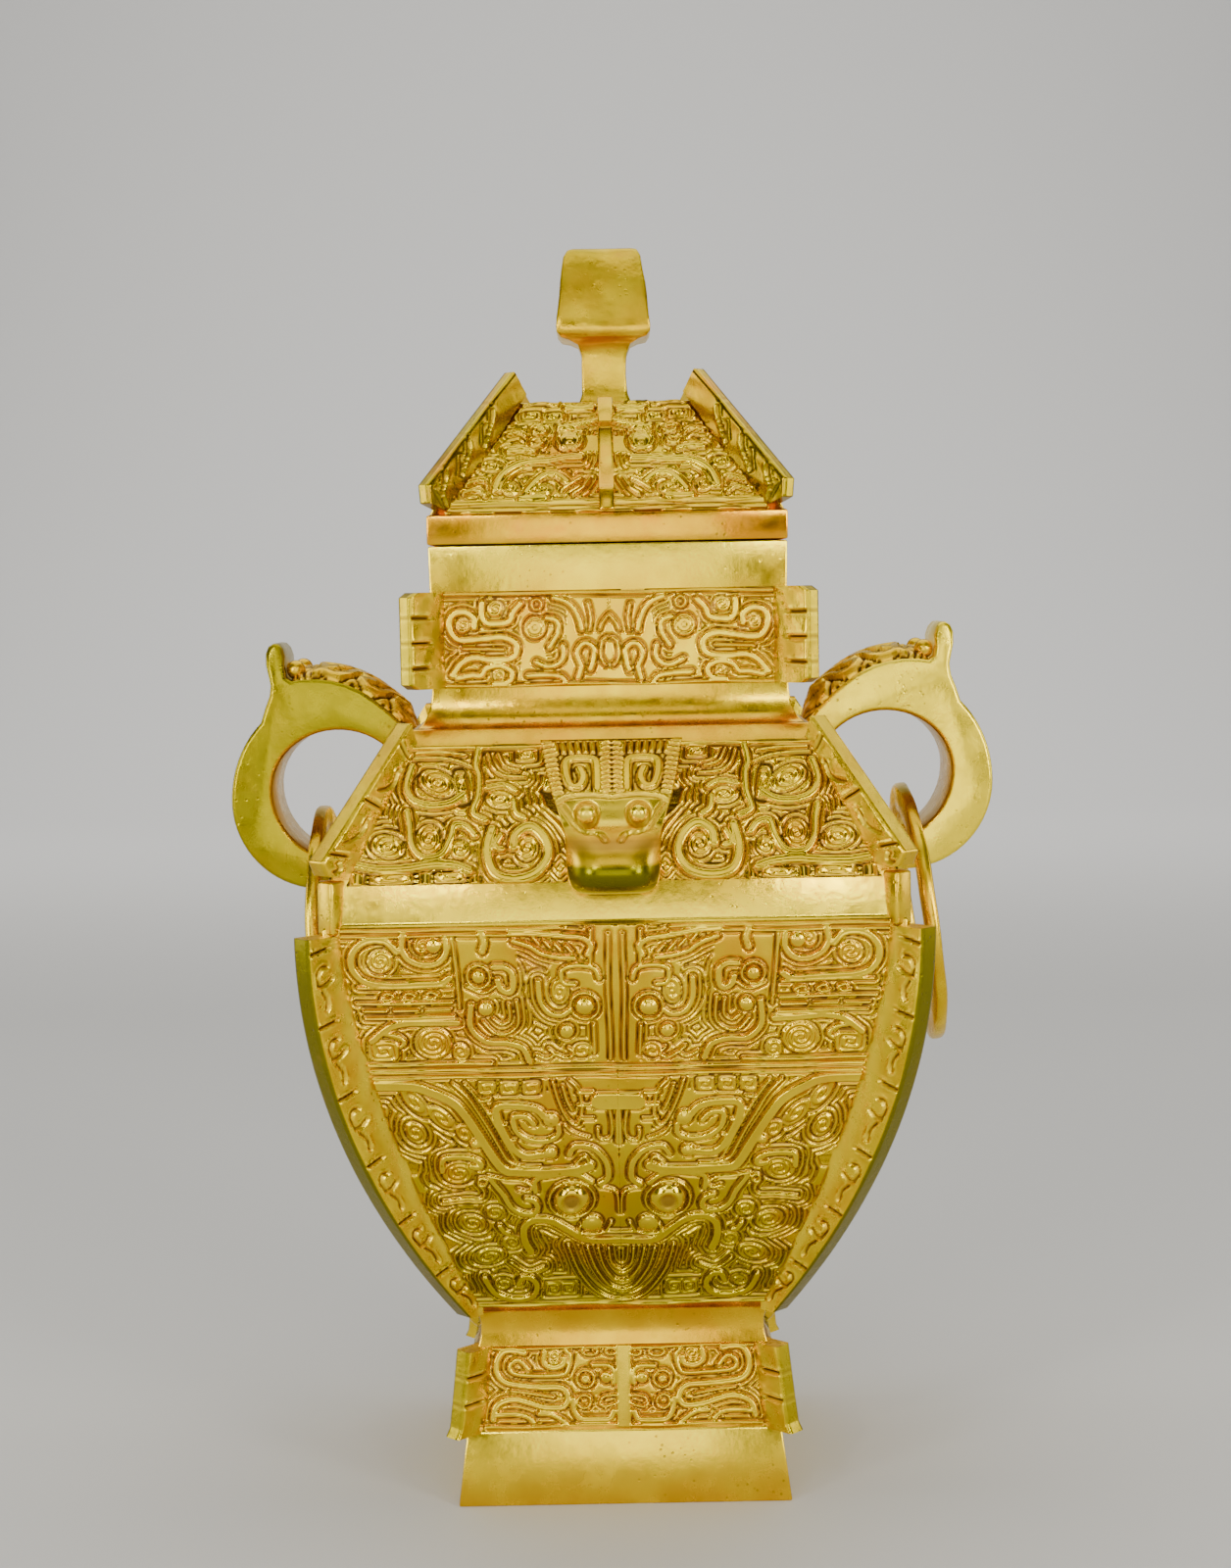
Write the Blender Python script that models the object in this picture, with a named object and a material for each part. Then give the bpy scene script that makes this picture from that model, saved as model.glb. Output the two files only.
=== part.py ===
"""Lidded square bottle of gilt bronze, with two ringed handles.

Metres, +Z up. The origin is the centre of the foot's underside, and the front faces -Y.
A half width runs from the axis to the middle of a side, so corners lie at (half, half).
"""
import math

import bmesh
import bpy
from mathutils import Matrix, Vector

MM = 0.001
SIDES = 4
FRONT = 0
BACK = 2
QUARTER = math.pi / 2
CORNER = math.sqrt(2)
WELD = 0.002 * MM

# Heights of the body's zones, from the foot up
FOOT_PLAIN_HEIGHT = 18.4 * MM
FOOT_BAND_HEIGHT = 21.4 * MM
WAIST_HEIGHT = 11.7 * MM
BELLY_HEIGHT = 100.6 * MM
PLAIN_BAND_HEIGHT = 10.0 * MM
SHOULDER_HEIGHT = 32.0 * MM
COVE_HEIGHT = 13.6 * MM
NECK_BAND_HEIGHT = 23.6 * MM
RIM_HEIGHT = 11.2 * MM
UPPER_REGISTER_HEIGHT = 36.0 * MM

# Half widths of the body where its zones meet
FOOT_BOTTOM_HALF = 42.3 * MM
FOOT_PLAIN_TOP_HALF = 39.9 * MM
FOOT_BAND_INSET = 0.8 * MM
FOOT_TOP_HALF = 36.8 * MM
WAIST_HALF = 36.0 * MM
BELLY_BOTTOM_HALF = 40.0 * MM
BELLY_TOP_HALF = 69.6 * MM
PLAIN_BAND_INSET = 0.8 * MM
PLAIN_BAND_TAPER = 0.8 * MM
SHOULDER_TOP_HALF = 52.0 * MM
COVE_FOOT_HALF = 48.6 * MM
NECK_HALF = 43.8 * MM
RIM_HALF = 44.0 * MM
BELLY_CURVE = 1.55
BELLY_STEPS = 8
COVE_STEPS = 4
COVE_LEDGE_SHARE = 0.28
SLOPE_REACH = 0.6 * MM

# Thickness of the casting
WALL = 4.0 * MM
FLOOR = 4.5 * MM
BURY = 1.6 * MM

# Corner flanges: how far each stands out from its corner, along a side
FLANGE_THICKNESS = 6.0 * MM
FLANGE_BURY = 2.8 * MM
FOOT_FLANGE_THICKNESS = 5.2 * MM
NECK_FLANGE_THICKNESS = 4.8 * MM
FOOT_FLANGE_OUT = 3.8 * MM
NECK_FLANGE_OUT = 6.0 * MM
SHOULDER_FLANGE_TOP_IN = 1.4 * MM
SHOULDER_FLANGE_LOW_OUT = 5.8 * MM
SHOULDER_FLANGE_LOW_RISE = 6.2 * MM
SHOULDER_HORN_RISE = 5.6 * MM
BAND_STUB_OUT = 0.6 * MM
BELLY_FLANGE_TOP_OUT = 4.6 * MM
BELLY_FLANGE_LOW_OUT = 0.2 * MM
BELLY_FLANGE_DROP = 2.6 * MM
BELLY_FLANGE_TOP_GAP = 1.6 * MM
BELLY_FLANGE_CURVE = 2.0
SHOULDER_FLANGE_HEEL = 3.4 * MM
STUB_OVERLAP = 0.4 * MM
NECK_FLANGE_ROUNDING = 1.6 * MM
FOOT_NOTCHES = 2
NECK_NOTCHES = 3
SHOULDER_NOTCHES = 3
BELLY_NOTCHES = 6
HIP_NOTCHES = 4
NOTCH_WIDTH = 1.3 * MM
NOTCH_DEPTH = 0.9 * MM

# Side handles, in the plane across the bottle; places are from the shoulder's lower edge
HANDLE_THICKNESS = 24.0 * MM
HANDLE_LOOP_OUT = 7.2 * MM
HANDLE_LOOP_LIFT = 17.9 * MM
HANDLE_REACH = 23.0 * MM
HANDLE_RISE = 27.0 * MM
HANDLE_FALL = 23.0 * MM
HANDLE_STEPS = 9
GRIP_HOLE_SETBACK = 5.0 * MM
GRIP_HOLE_LIFT = 3.0 * MM
GRIP_HOLE_REACH = 17.3 * MM
GRIP_HOLE_RISE = 15.5 * MM
GRIP_HOLE_FALL = 18.0 * MM
GRIP_HOLE_STEPS = 11
HEAD_CREST = 7.2 * MM
HEAD_LENGTH = 6.0 * MM
MANE_RIDGES = 4
MANE_OUT = 1.0 * MM
MANE_LIFT = 4.0 * MM
MANE_RIDGE = 1.1 * MM
MANE_BOW = 2.2 * MM
MANE_DROP = 1.4 * MM
SNOUT_X_SHARE = 0.42
SNOUT_WIDTH = 1.6 * MM
SNOUT_CHIN = 4.6 * MM
SNOUT_NARROWING = 0.55
HANDLE_HORN_RISE = 7.0 * MM
HANDLE_ROOT_DROP = 6.5 * MM
HANDLE_ROOT_LIFT = 2.0 * MM
HANDLE_EYE_RADIUS = 2.3 * MM
HANDLE_EYE_SPACING = 13.0 * MM
HANDLE_EYE_FORWARD = 3.6 * MM
LEFT_HANDLE_DROP = 2.4 * MM

# Rings
RING_RADIUS = 34.3 * MM
RING_BAND = 8.0 * MM
RING_THICKNESS = 3.6 * MM
RING_CLEARANCE = 0.3 * MM
RING_STEPS = 28
RIGHT_RING_LEAN = math.radians(7)
RIGHT_RING_OUT = 1.6 * MM
LEFT_RING_OUT = 0.4 * MM

# Animal heads on the front and back of the shoulder; the stations run from top to chin as
# (share of the shoulder's height, share of the way from muzzle width to top width, share out)
HEAD_TOP_WIDTH = 33.0 * MM
MUZZLE_WIDTH = 21.5 * MM
MUZZLE_OUT = 14.0 * MM
HEAD_STATIONS = (
    (1.00, 1.00, 0.08), (0.72, 0.76, 0.22), (0.50, 0.52, 0.48), (0.38, 0.38, 0.62),
    (0.30, 0.29, 0.92), (0.18, 0.19, 1.00), (0.05, 0.10, 0.86), (-0.07, 0.00, 0.40),
)
HEAD_CHEEK_SHARE = 0.55
HEAD_FACE_SHARE = 0.72
HEAD_EYE_RADIUS = 2.2 * MM
HEAD_EYE_SPACING = 12.0 * MM
HEAD_EYE_V = 0.46
HEAD_EYE_OUT_SHARE = 0.52
HORN_LINE = 1.3 * MM
HORN_OUT_SHARE = 0.42

# Waist lugs
LUG_OUT = 5.4 * MM
LUG_WIDTH = 7.0 * MM
LUG_HEIGHT = 13.0 * MM
BALL_DETAIL = 1

# Lid
LID_GAP = 0.3 * MM
LID_RIM_HEIGHT = 7.2 * MM
LID_ROOF_HEIGHT = 28.4 * MM
LID_HALF = 44.2 * MM
LID_EAVE_HALF = 42.9 * MM
LID_TOP_HALF = 22.8 * MM
LID_WALL = 3.4 * MM
COLLAR_DEPTH = 9.0 * MM
COLLAR_WALL = 3.0 * MM
COLLAR_CLEARANCE = 0.5 * MM
HIP_FLANGE_THICKNESS = 4.2 * MM
HIP_FLANGE_LOW_HALF = 44.9 * MM
HIP_FLANGE_TOP_HALF = 24.0 * MM
HIP_FLANGE_CLEAR = 1.6 * MM
HIP_FLANGE_LIFT = 5.8 * MM
HIP_HORN_RISE = 7.6 * MM
HIP_HEEL_LIFT = 1.6 * MM
HIP_HEEL_IN = 0.4 * MM
HIP_HEEL_OUT = 0.8 * MM
HIP_HORN_IN = 1.8 * MM
HIP_HORN_DROP = 0.8 * MM
HIP_NECK_IN = 0.6 * MM
HIP_NECK_LIFT = 1.4 * MM
RIDGE_WIDTH = 3.8 * MM
RIDGE_OUT = 3.6 * MM
RIDGE_CLEAR = 0.6 * MM
RIDGE_TOP_LIFT = 1.2 * MM
RIDGE_BLOCK_OUT = 5.6 * MM
RIDGE_BLOCK_LENGTH = 6.0 * MM
RIDGE_BLOCK_STEP = 0.4 * MM
RIDGE_TOP_SHARE = 0.4
RIDGE_LOW_SHARE = 0.7

# Knob
STEM_HALF = 5.7 * MM
STEM_HEIGHT = 17.0 * MM
STEM_FOOT_SHARE = 1.2
STEM_FOOT_LOW = 0.6 * MM
STEM_FOOT_HEIGHT = 3.4 * MM
STEM_HEAD_SHARE = 1.5
STEM_HEAD_HEIGHT = 3.0 * MM
KNOB_BEVEL_HEIGHT = 2.6 * MM
KNOB_BEVEL_STEP = 0.6 * MM
KNOB_UNDER_SHARE = 0.9
KNOB_EAVE_HALF = 12.1 * MM
KNOB_EAVE_DEPTH_SHARE = 0.92
KNOB_ROOF_HEIGHT = 21.2 * MM
KNOB_HIP_SHARE = 0.35
KNOB_HIP_DEPTH_SHARE = 0.62
KNOB_RIDGE_HALF = 8.6 * MM
KNOB_RIDGE_THICKNESS = 3.0 * MM
KNOB_RIDGE_ROUNDING = 0.8 * MM
KNOB_RIDGE_DROP = 2.0 * MM

# Relief: heights above the ground of each register
RELIEF = 0.9 * MM
BOSS_RELIEF = 1.8 * MM
RELIEF_SINK = 1.1 * MM
WIDE_LINE = 1.9 * MM
LINE = 1.5 * MM
THIN_LINE = 1.3 * MM
RIB_LINE = 2.2 * MM
CROWN_LINE = 4.6 * MM
LINE_END_SHARE = 0.55
GREAT_EYE = 4.3 * MM
MASK_EYE = 2.9 * MM
SMALL_BOSS = 2.3 * MM
DRAGON_EYE = 2.0 * MM
BOSS_TOP_SHARE = 0.62
PATH_STEPS = 2
BOSS_SIDES = 8

# Levels worked out from the zone heights
Z_FOOT_BAND = FOOT_PLAIN_HEIGHT
Z_WAIST = Z_FOOT_BAND + FOOT_BAND_HEIGHT
Z_BELLY = Z_WAIST + WAIST_HEIGHT
Z_PLAIN_BAND = Z_BELLY + BELLY_HEIGHT
Z_SHOULDER = Z_PLAIN_BAND + PLAIN_BAND_HEIGHT
Z_COVE = Z_SHOULDER + SHOULDER_HEIGHT
Z_NECK_BAND = Z_COVE + COVE_HEIGHT
Z_RIM = Z_NECK_BAND + NECK_BAND_HEIGHT
Z_MOUTH = Z_RIM + RIM_HEIGHT
Z_UPPER_REGISTER = Z_PLAIN_BAND - UPPER_REGISTER_HEIGHT
Z_LID = Z_MOUTH + LID_GAP
Z_ROOF = Z_LID + LID_RIM_HEIGHT
Z_LID_TOP = Z_ROOF + LID_ROOF_HEIGHT
Z_KNOB = Z_LID_TOP + STEM_HEIGHT
MOUTH_HALF = NECK_HALF - WALL

# Places worked out from the body's edges
PLAIN_BAND_HALF = BELLY_TOP_HALF - PLAIN_BAND_INSET
SHOULDER_BOTTOM_HALF = PLAIN_BAND_HALF - PLAIN_BAND_TAPER
HANDLE_LOOP_X = PLAIN_BAND_HALF + HANDLE_LOOP_OUT
HANDLE_LOOP_Z = Z_SHOULDER + HANDLE_LOOP_LIFT
HANDLE_CREST_Z = HANDLE_LOOP_Z + HANDLE_RISE + HEAD_CREST
GRIP_HOLE_X = HANDLE_LOOP_X - GRIP_HOLE_SETBACK
GRIP_HOLE_Z = HANDLE_LOOP_Z + GRIP_HOLE_LIFT
RIGHT_RING_X = HANDLE_LOOP_X + RIGHT_RING_OUT
LEFT_RING_X = HANDLE_LOOP_X + LEFT_RING_OUT


def clear_scene():
    for item in list(bpy.data.objects):
        bpy.data.objects.remove(item, do_unlink=True)


def make_material(name, colour, metallic, roughness):
    material = bpy.data.materials.new(name)
    material.use_nodes = True
    shader = material.node_tree.nodes["Principled BSDF"]
    shader.inputs["Base Color"].default_value = (*colour, 1.0)
    shader.inputs["Metallic"].default_value = metallic
    shader.inputs["Roughness"].default_value = roughness
    return material


def mesh_object(name, bm):
    """Turn a bmesh into an object of the scene."""
    bmesh.ops.recalc_face_normals(bm, faces=bm.faces[:])
    mesh = bpy.data.meshes.new(name)
    bm.to_mesh(mesh)
    bm.free()
    made = bpy.data.objects.new(name, mesh)
    bpy.context.scene.collection.objects.link(made)
    return made


def unite(body, tool):
    """Fuse a tool into a body with an exact union, and drop the tool."""
    fuse = body.modifiers.new("Union", "BOOLEAN")
    fuse.operation = "UNION"
    fuse.solver = "EXACT"
    fuse.use_self = True
    fuse.object = tool
    seen = body.evaluated_get(bpy.context.evaluated_depsgraph_get())
    fused = bpy.data.meshes.new_from_object(seen)
    body.modifiers.clear()
    body.data = fused
    bpy.data.objects.remove(tool, do_unlink=True)


def tidy_mesh(body):
    """Weld stray points and leave only triangles."""
    bm = bmesh.new()
    bm.from_mesh(body.data)
    bmesh.ops.remove_doubles(bm, verts=bm.verts[:], dist=WELD)
    bmesh.ops.dissolve_degenerate(bm, edges=bm.edges[:], dist=WELD)
    bmesh.ops.triangulate(bm, faces=bm.faces[:])
    bm.to_mesh(body.data)
    bm.free()


def mix(start, end, share):
    return start + (end - start) * share


def belly_half(share):
    """Half width of the belly, from 0 at its bottom to 1 at its top."""
    return mix(BELLY_BOTTOM_HALF, BELLY_TOP_HALF, 1 - (1 - share) ** BELLY_CURVE)


def body_profile():
    """Outside of the body as (half width, height), from the ground to the mouth."""
    points = [
        (FOOT_BOTTOM_HALF, 0.0),
        (FOOT_PLAIN_TOP_HALF, Z_FOOT_BAND),
        (FOOT_PLAIN_TOP_HALF - FOOT_BAND_INSET, Z_FOOT_BAND + FOOT_BAND_INSET),
        (FOOT_TOP_HALF, Z_WAIST),
        (WAIST_HALF, mix(Z_WAIST, Z_BELLY, 0.5)),
    ]
    for step in range(BELLY_STEPS + 1):
        share = step / BELLY_STEPS
        points.append((belly_half(share), mix(Z_BELLY, Z_PLAIN_BAND, share)))
    band_step = abs(PLAIN_BAND_HALF - BELLY_TOP_HALF)
    points.append((PLAIN_BAND_HALF, Z_PLAIN_BAND + band_step))
    points.append((SHOULDER_BOTTOM_HALF, Z_SHOULDER))
    points.append((SHOULDER_TOP_HALF, Z_COVE))
    for step in range(COVE_STEPS + 1):
        turn = QUARTER * step / COVE_STEPS
        half = NECK_HALF + (COVE_FOOT_HALF - NECK_HALF) * (1 - math.sin(turn))
        rise = mix(COVE_LEDGE_SHARE, 1.0, 1 - math.cos(turn))
        height = mix(Z_COVE, Z_NECK_BAND, rise)
        points.append((half, height))
    points.append((NECK_HALF, Z_RIM))
    points.append((RIM_HALF, Z_MOUTH))
    return points


def profile_half(profile, height):
    """Half width of a profile at a height, along its straight runs."""
    for (half_a, z_a), (half_b, z_b) in zip(profile, profile[1:]):
        if z_a <= height <= z_b and z_b > z_a:
            return mix(half_a, half_b, (height - z_a) / (z_b - z_a))
    return profile[-1][0] if height > profile[-1][1] else profile[0][0]


def profile_slope(profile, height):
    """How a profile narrows with height, as an angle from upright."""
    wide = profile_half(profile, height - SLOPE_REACH)
    narrow = profile_half(profile, height + SLOPE_REACH)
    return math.atan2(wide - narrow, 2 * SLOPE_REACH)


def square_turn(name, outline):
    """Carry an outline of (half width, height) round four sides, as a square lathe would."""
    bm = bmesh.new()
    points = [bm.verts.new((half * CORNER, 0.0, height)) for half, height in outline]
    edges = [bm.edges.new(pair) for pair in zip(points, points[1:])]
    bmesh.ops.spin(
        bm, geom=points + edges, cent=(0, 0, 0), axis=(0, 0, 1), dvec=(0, 0, 0),
        angle=2 * math.pi, steps=SIDES,
    )
    bmesh.ops.remove_doubles(bm, verts=bm.verts[:], dist=WELD)
    bmesh.ops.rotate(bm, verts=bm.verts[:], matrix=Matrix.Rotation(QUARTER / 2, 3, "Z"))
    bmesh.ops.dissolve_degenerate(bm, edges=bm.edges[:], dist=WELD)
    return mesh_object(name, bm)


def plate(bm, outline, thickness, turn):
    """Add an upright plate: an outline in the XZ plane, centred on Y, turned about Z."""
    front = [bm.verts.new((x, -thickness / 2, z)) for x, z in outline]
    back = [bm.verts.new((x, thickness / 2, z)) for x, z in outline]
    bm.faces.new(front)
    bm.faces.new(back[::-1])
    count = len(outline)
    for index in range(count):
        after = (index + 1) % count
        bm.faces.new((front[after], front[index], back[index], back[after]))
    bmesh.ops.rotate(bm, verts=front + back, matrix=Matrix.Rotation(turn, 3, "Z"))
    return front, back


def corner_plates(name, outline, thickness):
    """Four flanges with one outline of (half width, height), one on each corner."""
    bm = bmesh.new()
    diagonal = [(half * CORNER, height) for half, height in outline]
    for side in range(SIDES):
        plate(bm, diagonal, thickness, QUARTER * (side + 0.5))
    return mesh_object(name, bm)


def notched_edge(edge, top, bottom, notches):
    """Run down an edge given as half width by height, with notches cut across it."""
    points = [(edge(top), top)]
    pitch = (top - bottom) / (notches + 1)
    for index in range(notches):
        middle = top - pitch * (index + 1)
        above = middle + NOTCH_WIDTH / 2
        below = middle - NOTCH_WIDTH / 2
        points.append((edge(above), above))
        points.append((edge(middle) - NOTCH_DEPTH, middle))
        points.append((edge(below), below))
    points.append((edge(bottom), bottom))
    return points


def buried_edge(profile, bottom, top):
    """The hidden side of a flange: the body's own corner, a little inside its skin."""
    inner = [(profile_half(profile, bottom) - FLANGE_BURY, bottom)]
    inner += [(half - FLANGE_BURY, z) for half, z in profile if bottom < z < top]
    inner.append((profile_half(profile, top) - FLANGE_BURY, top))
    return inner


def foot_flanges(profile):
    bottom = Z_FOOT_BAND
    top = Z_WAIST

    def edge(height):
        return profile_half(profile, height) + FOOT_FLANGE_OUT
    outer = notched_edge(edge, top, bottom, FOOT_NOTCHES)
    inner = buried_edge(profile, bottom, top)
    return corner_plates("foot_flanges", outer + inner, FOOT_FLANGE_THICKNESS)


def neck_flanges(profile):
    bottom = Z_NECK_BAND
    top = Z_RIM
    rounding = NECK_FLANGE_ROUNDING

    def edge(height):
        return NECK_HALF + NECK_FLANGE_OUT
    outer = [(edge(top) - rounding, top)]
    outer += notched_edge(edge, top - rounding, bottom + rounding, NECK_NOTCHES)
    outer.append((edge(bottom) - rounding, bottom))
    inner = buried_edge(profile, bottom, top)
    return corner_plates("neck_flanges", outer + inner, NECK_FLANGE_THICKNESS)


def body_flanges(profile):
    """Shoulder flange, the low ridge past the plain band, and the long belly flange."""
    horn = Z_COVE + SHOULDER_HORN_RISE
    low = Z_SHOULDER + SHOULDER_FLANGE_LOW_RISE
    belly_top = Z_PLAIN_BAND - BELLY_FLANGE_TOP_GAP
    tip = Z_BELLY - BELLY_FLANGE_DROP
    horn_half = SHOULDER_TOP_HALF - SHOULDER_FLANGE_TOP_IN
    low_half = profile_half(profile, low) + SHOULDER_FLANGE_LOW_OUT

    def shoulder_edge(height):
        return mix(low_half, horn_half, (height - low) / (horn - low))

    def belly_edge(height):
        share = (height - tip) / (belly_top - tip)
        wide = BELLY_TOP_HALF + BELLY_FLANGE_TOP_OUT
        narrow = BELLY_BOTTOM_HALF + BELLY_FLANGE_LOW_OUT
        return mix(narrow, wide, 1 - (1 - share) ** BELLY_FLANGE_CURVE)
    stub = PLAIN_BAND_HALF + BAND_STUB_OUT
    outer = notched_edge(shoulder_edge, horn, low, SHOULDER_NOTCHES)
    outer.append((mix(low_half, stub, 0.5), low - SHOULDER_FLANGE_HEEL))
    outer.append((stub, Z_SHOULDER))
    outer.append((stub, belly_top + STUB_OVERLAP))
    outer += notched_edge(belly_edge, belly_top, tip, BELLY_NOTCHES)
    inner = buried_edge(profile, Z_BELLY, Z_COVE)
    inner.insert(0, (BELLY_BOTTOM_HALF - FLANGE_BURY, tip))
    return corner_plates("body_flanges", outer + inner, FLANGE_THICKNESS)


def ellipse(centre, reach, rise, fall, start, end, steps):
    """Points of an ellipse that rises and falls by different amounts."""
    points = []
    for step in range(steps + 1):
        angle = math.radians(mix(start, end, step / steps))
        height = rise if math.sin(angle) > 0 else fall
        points.append((centre[0] + reach * math.cos(angle), centre[1] + height * math.sin(angle)))
    return points


def limb_top(x):
    """Height of the handle's lower limb, where its ring hangs."""
    across = (x - GRIP_HOLE_X) / GRIP_HOLE_REACH
    return GRIP_HOLE_Z - GRIP_HOLE_FALL * math.sqrt(1 - across * across)


def handle_outline(profile):
    """Handle from the side: mane, upturned snout, outer bow, lower limb and grip hole."""
    start = (SHOULDER_TOP_HALF + MANE_OUT, Z_COVE + MANE_LIFT)
    end = (HANDLE_LOOP_X - HEAD_LENGTH, HANDLE_CREST_Z - MANE_DROP)
    mane = []
    for index in range(MANE_RIDGES):
        for share, lift in ((0.0, 0.0), (0.25, MANE_RIDGE), (0.75, MANE_RIDGE)):
            along = (index + share) / MANE_RIDGES
            bow = MANE_BOW * math.sin(math.pi * along) + lift
            mane.append((mix(start[0], end[0], along), mix(start[1], end[1], along) + bow))
    snout_x = HANDLE_LOOP_X + SNOUT_X_SHARE * HANDLE_REACH
    snout = [
        end,
        (HANDLE_LOOP_X, HANDLE_CREST_Z),
        (HANDLE_LOOP_X + HEAD_LENGTH, HANDLE_CREST_Z),
        (snout_x, HANDLE_CREST_Z + HANDLE_HORN_RISE),
        (snout_x + SNOUT_WIDTH, HANDLE_CREST_Z + HANDLE_HORN_RISE - SNOUT_WIDTH),
        (snout_x, HANDLE_CREST_Z),
        (snout_x, HANDLE_CREST_Z - SNOUT_CHIN),
    ]
    loop = (HANDLE_LOOP_X, HANDLE_LOOP_Z)
    bow = ellipse(loop, HANDLE_REACH, HANDLE_RISE, HANDLE_FALL, 58, -90, HANDLE_STEPS)
    low = HANDLE_LOOP_Z - HANDLE_FALL
    low_root = profile_half(profile, low) - BURY
    limb_root = limb_top(low_root)
    limb = [(low_root, low), (profile_half(profile, limb_root) - BURY, limb_root)]
    hole_centre = (GRIP_HOLE_X, GRIP_HOLE_Z)
    hole = ellipse(
        hole_centre, GRIP_HOLE_REACH, GRIP_HOLE_RISE, GRIP_HOLE_FALL, -112, 128, GRIP_HOLE_STEPS,
    )
    root = Z_COVE - HANDLE_ROOT_DROP
    close = [
        (profile_half(profile, root) - BURY, root),
        (SHOULDER_TOP_HALF - BURY, Z_COVE + HANDLE_ROOT_LIFT),
    ]
    return mane + snout + bow + limb + hole + close


def handle(name, outline, side, drop):
    """One handle: the side view as a thick plate, with its snout drawn in."""
    bm = bmesh.new()
    front, back = plate(bm, outline, HANDLE_THICKNESS, 0.0)
    for vert in front + back:
        if vert.co.z > HANDLE_CREST_Z + MANE_RIDGE:
            vert.co.y *= SNOUT_NARROWING
    return place_handle_piece(name, bm, side, drop)


def place_handle_piece(name, bm, side, drop):
    """Lower a piece modelled on the right, and turn it to the left where it belongs there."""
    bmesh.ops.translate(bm, verts=bm.verts[:], vec=(0, 0, -drop))
    if side < 0:
        bmesh.ops.rotate(bm, verts=bm.verts[:], matrix=Matrix.Rotation(math.pi, 3, "Z"))
    return mesh_object(name, bm)


def handle_eyes(name, side, drop):
    """Two eye balls on top of the handle's head."""
    bm = bmesh.new()
    for sign in (-1, 1):
        eye = bmesh.ops.create_icosphere(bm, subdivisions=BALL_DETAIL, radius=HANDLE_EYE_RADIUS)
        x = HANDLE_LOOP_X + HANDLE_EYE_FORWARD
        spot = Vector((x, sign * HANDLE_EYE_SPACING / 2, HANDLE_CREST_Z))
        bmesh.ops.translate(bm, verts=eye["verts"], vec=spot)
    return place_handle_piece(name, bm, side, drop)


def ring(name, top_x, lean, drop, material):
    """A flat ring hung over a handle's lower limb, just clear of it."""
    half = RING_THICKNESS / 2
    inner = RING_RADIUS - RING_BAND
    rest = math.sqrt(inner ** 2 - (HANDLE_THICKNESS / 2) ** 2)
    contact = limb_top(top_x + half) + RING_CLEARANCE + half * math.sin(lean)
    hang = rest * math.cos(lean) + drop
    centre = Vector((top_x + rest * math.sin(lean), 0.0, contact - hang))
    bm = bmesh.new()
    section = [(inner, -half), (RING_RADIUS, -half), (RING_RADIUS, half), (inner, half)]
    points = [bm.verts.new((x, 0.0, radius)) for radius, x in section]
    edges = [bm.edges.new((points[index], points[index - 1])) for index in range(len(points))]
    bmesh.ops.spin(
        bm, geom=points + edges, cent=(0, 0, 0), axis=(1, 0, 0), dvec=(0, 0, 0),
        angle=2 * math.pi, steps=RING_STEPS,
    )
    bmesh.ops.remove_doubles(bm, verts=bm.verts[:], dist=WELD)
    bmesh.ops.rotate(bm, verts=bm.verts[:], matrix=Matrix.Rotation(-lean, 3, "Y"))
    bmesh.ops.translate(bm, verts=bm.verts[:], vec=centre)
    if name == "ring_left":
        bmesh.ops.rotate(bm, verts=bm.verts[:], matrix=Matrix.Rotation(math.pi, 3, "Z"))
    made = mesh_object(name, bm)
    made.data.materials.append(material)
    made.data.shade_smooth()
    made.data.set_sharp_from_angle(angle=math.radians(35))
    return made


def smooth_path(points, steps):
    """Rounded path that passes through all the points."""
    path = []
    last = len(points) - 1
    for index in range(last):
        before = Vector(points[max(index - 1, 0)])
        here = Vector(points[index])
        after = Vector(points[index + 1])
        beyond = Vector(points[min(index + 2, last)])
        for step in range(steps):
            t = step / steps
            bend = (after - before) * t
            bend += (2 * before - 5 * here + 4 * after - beyond) * t ** 2
            bend += (3 * here - before - 3 * after + beyond) * t ** 3
            path.append(here + bend / 2)
    path.append(Vector(points[-1]))
    return path


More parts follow.
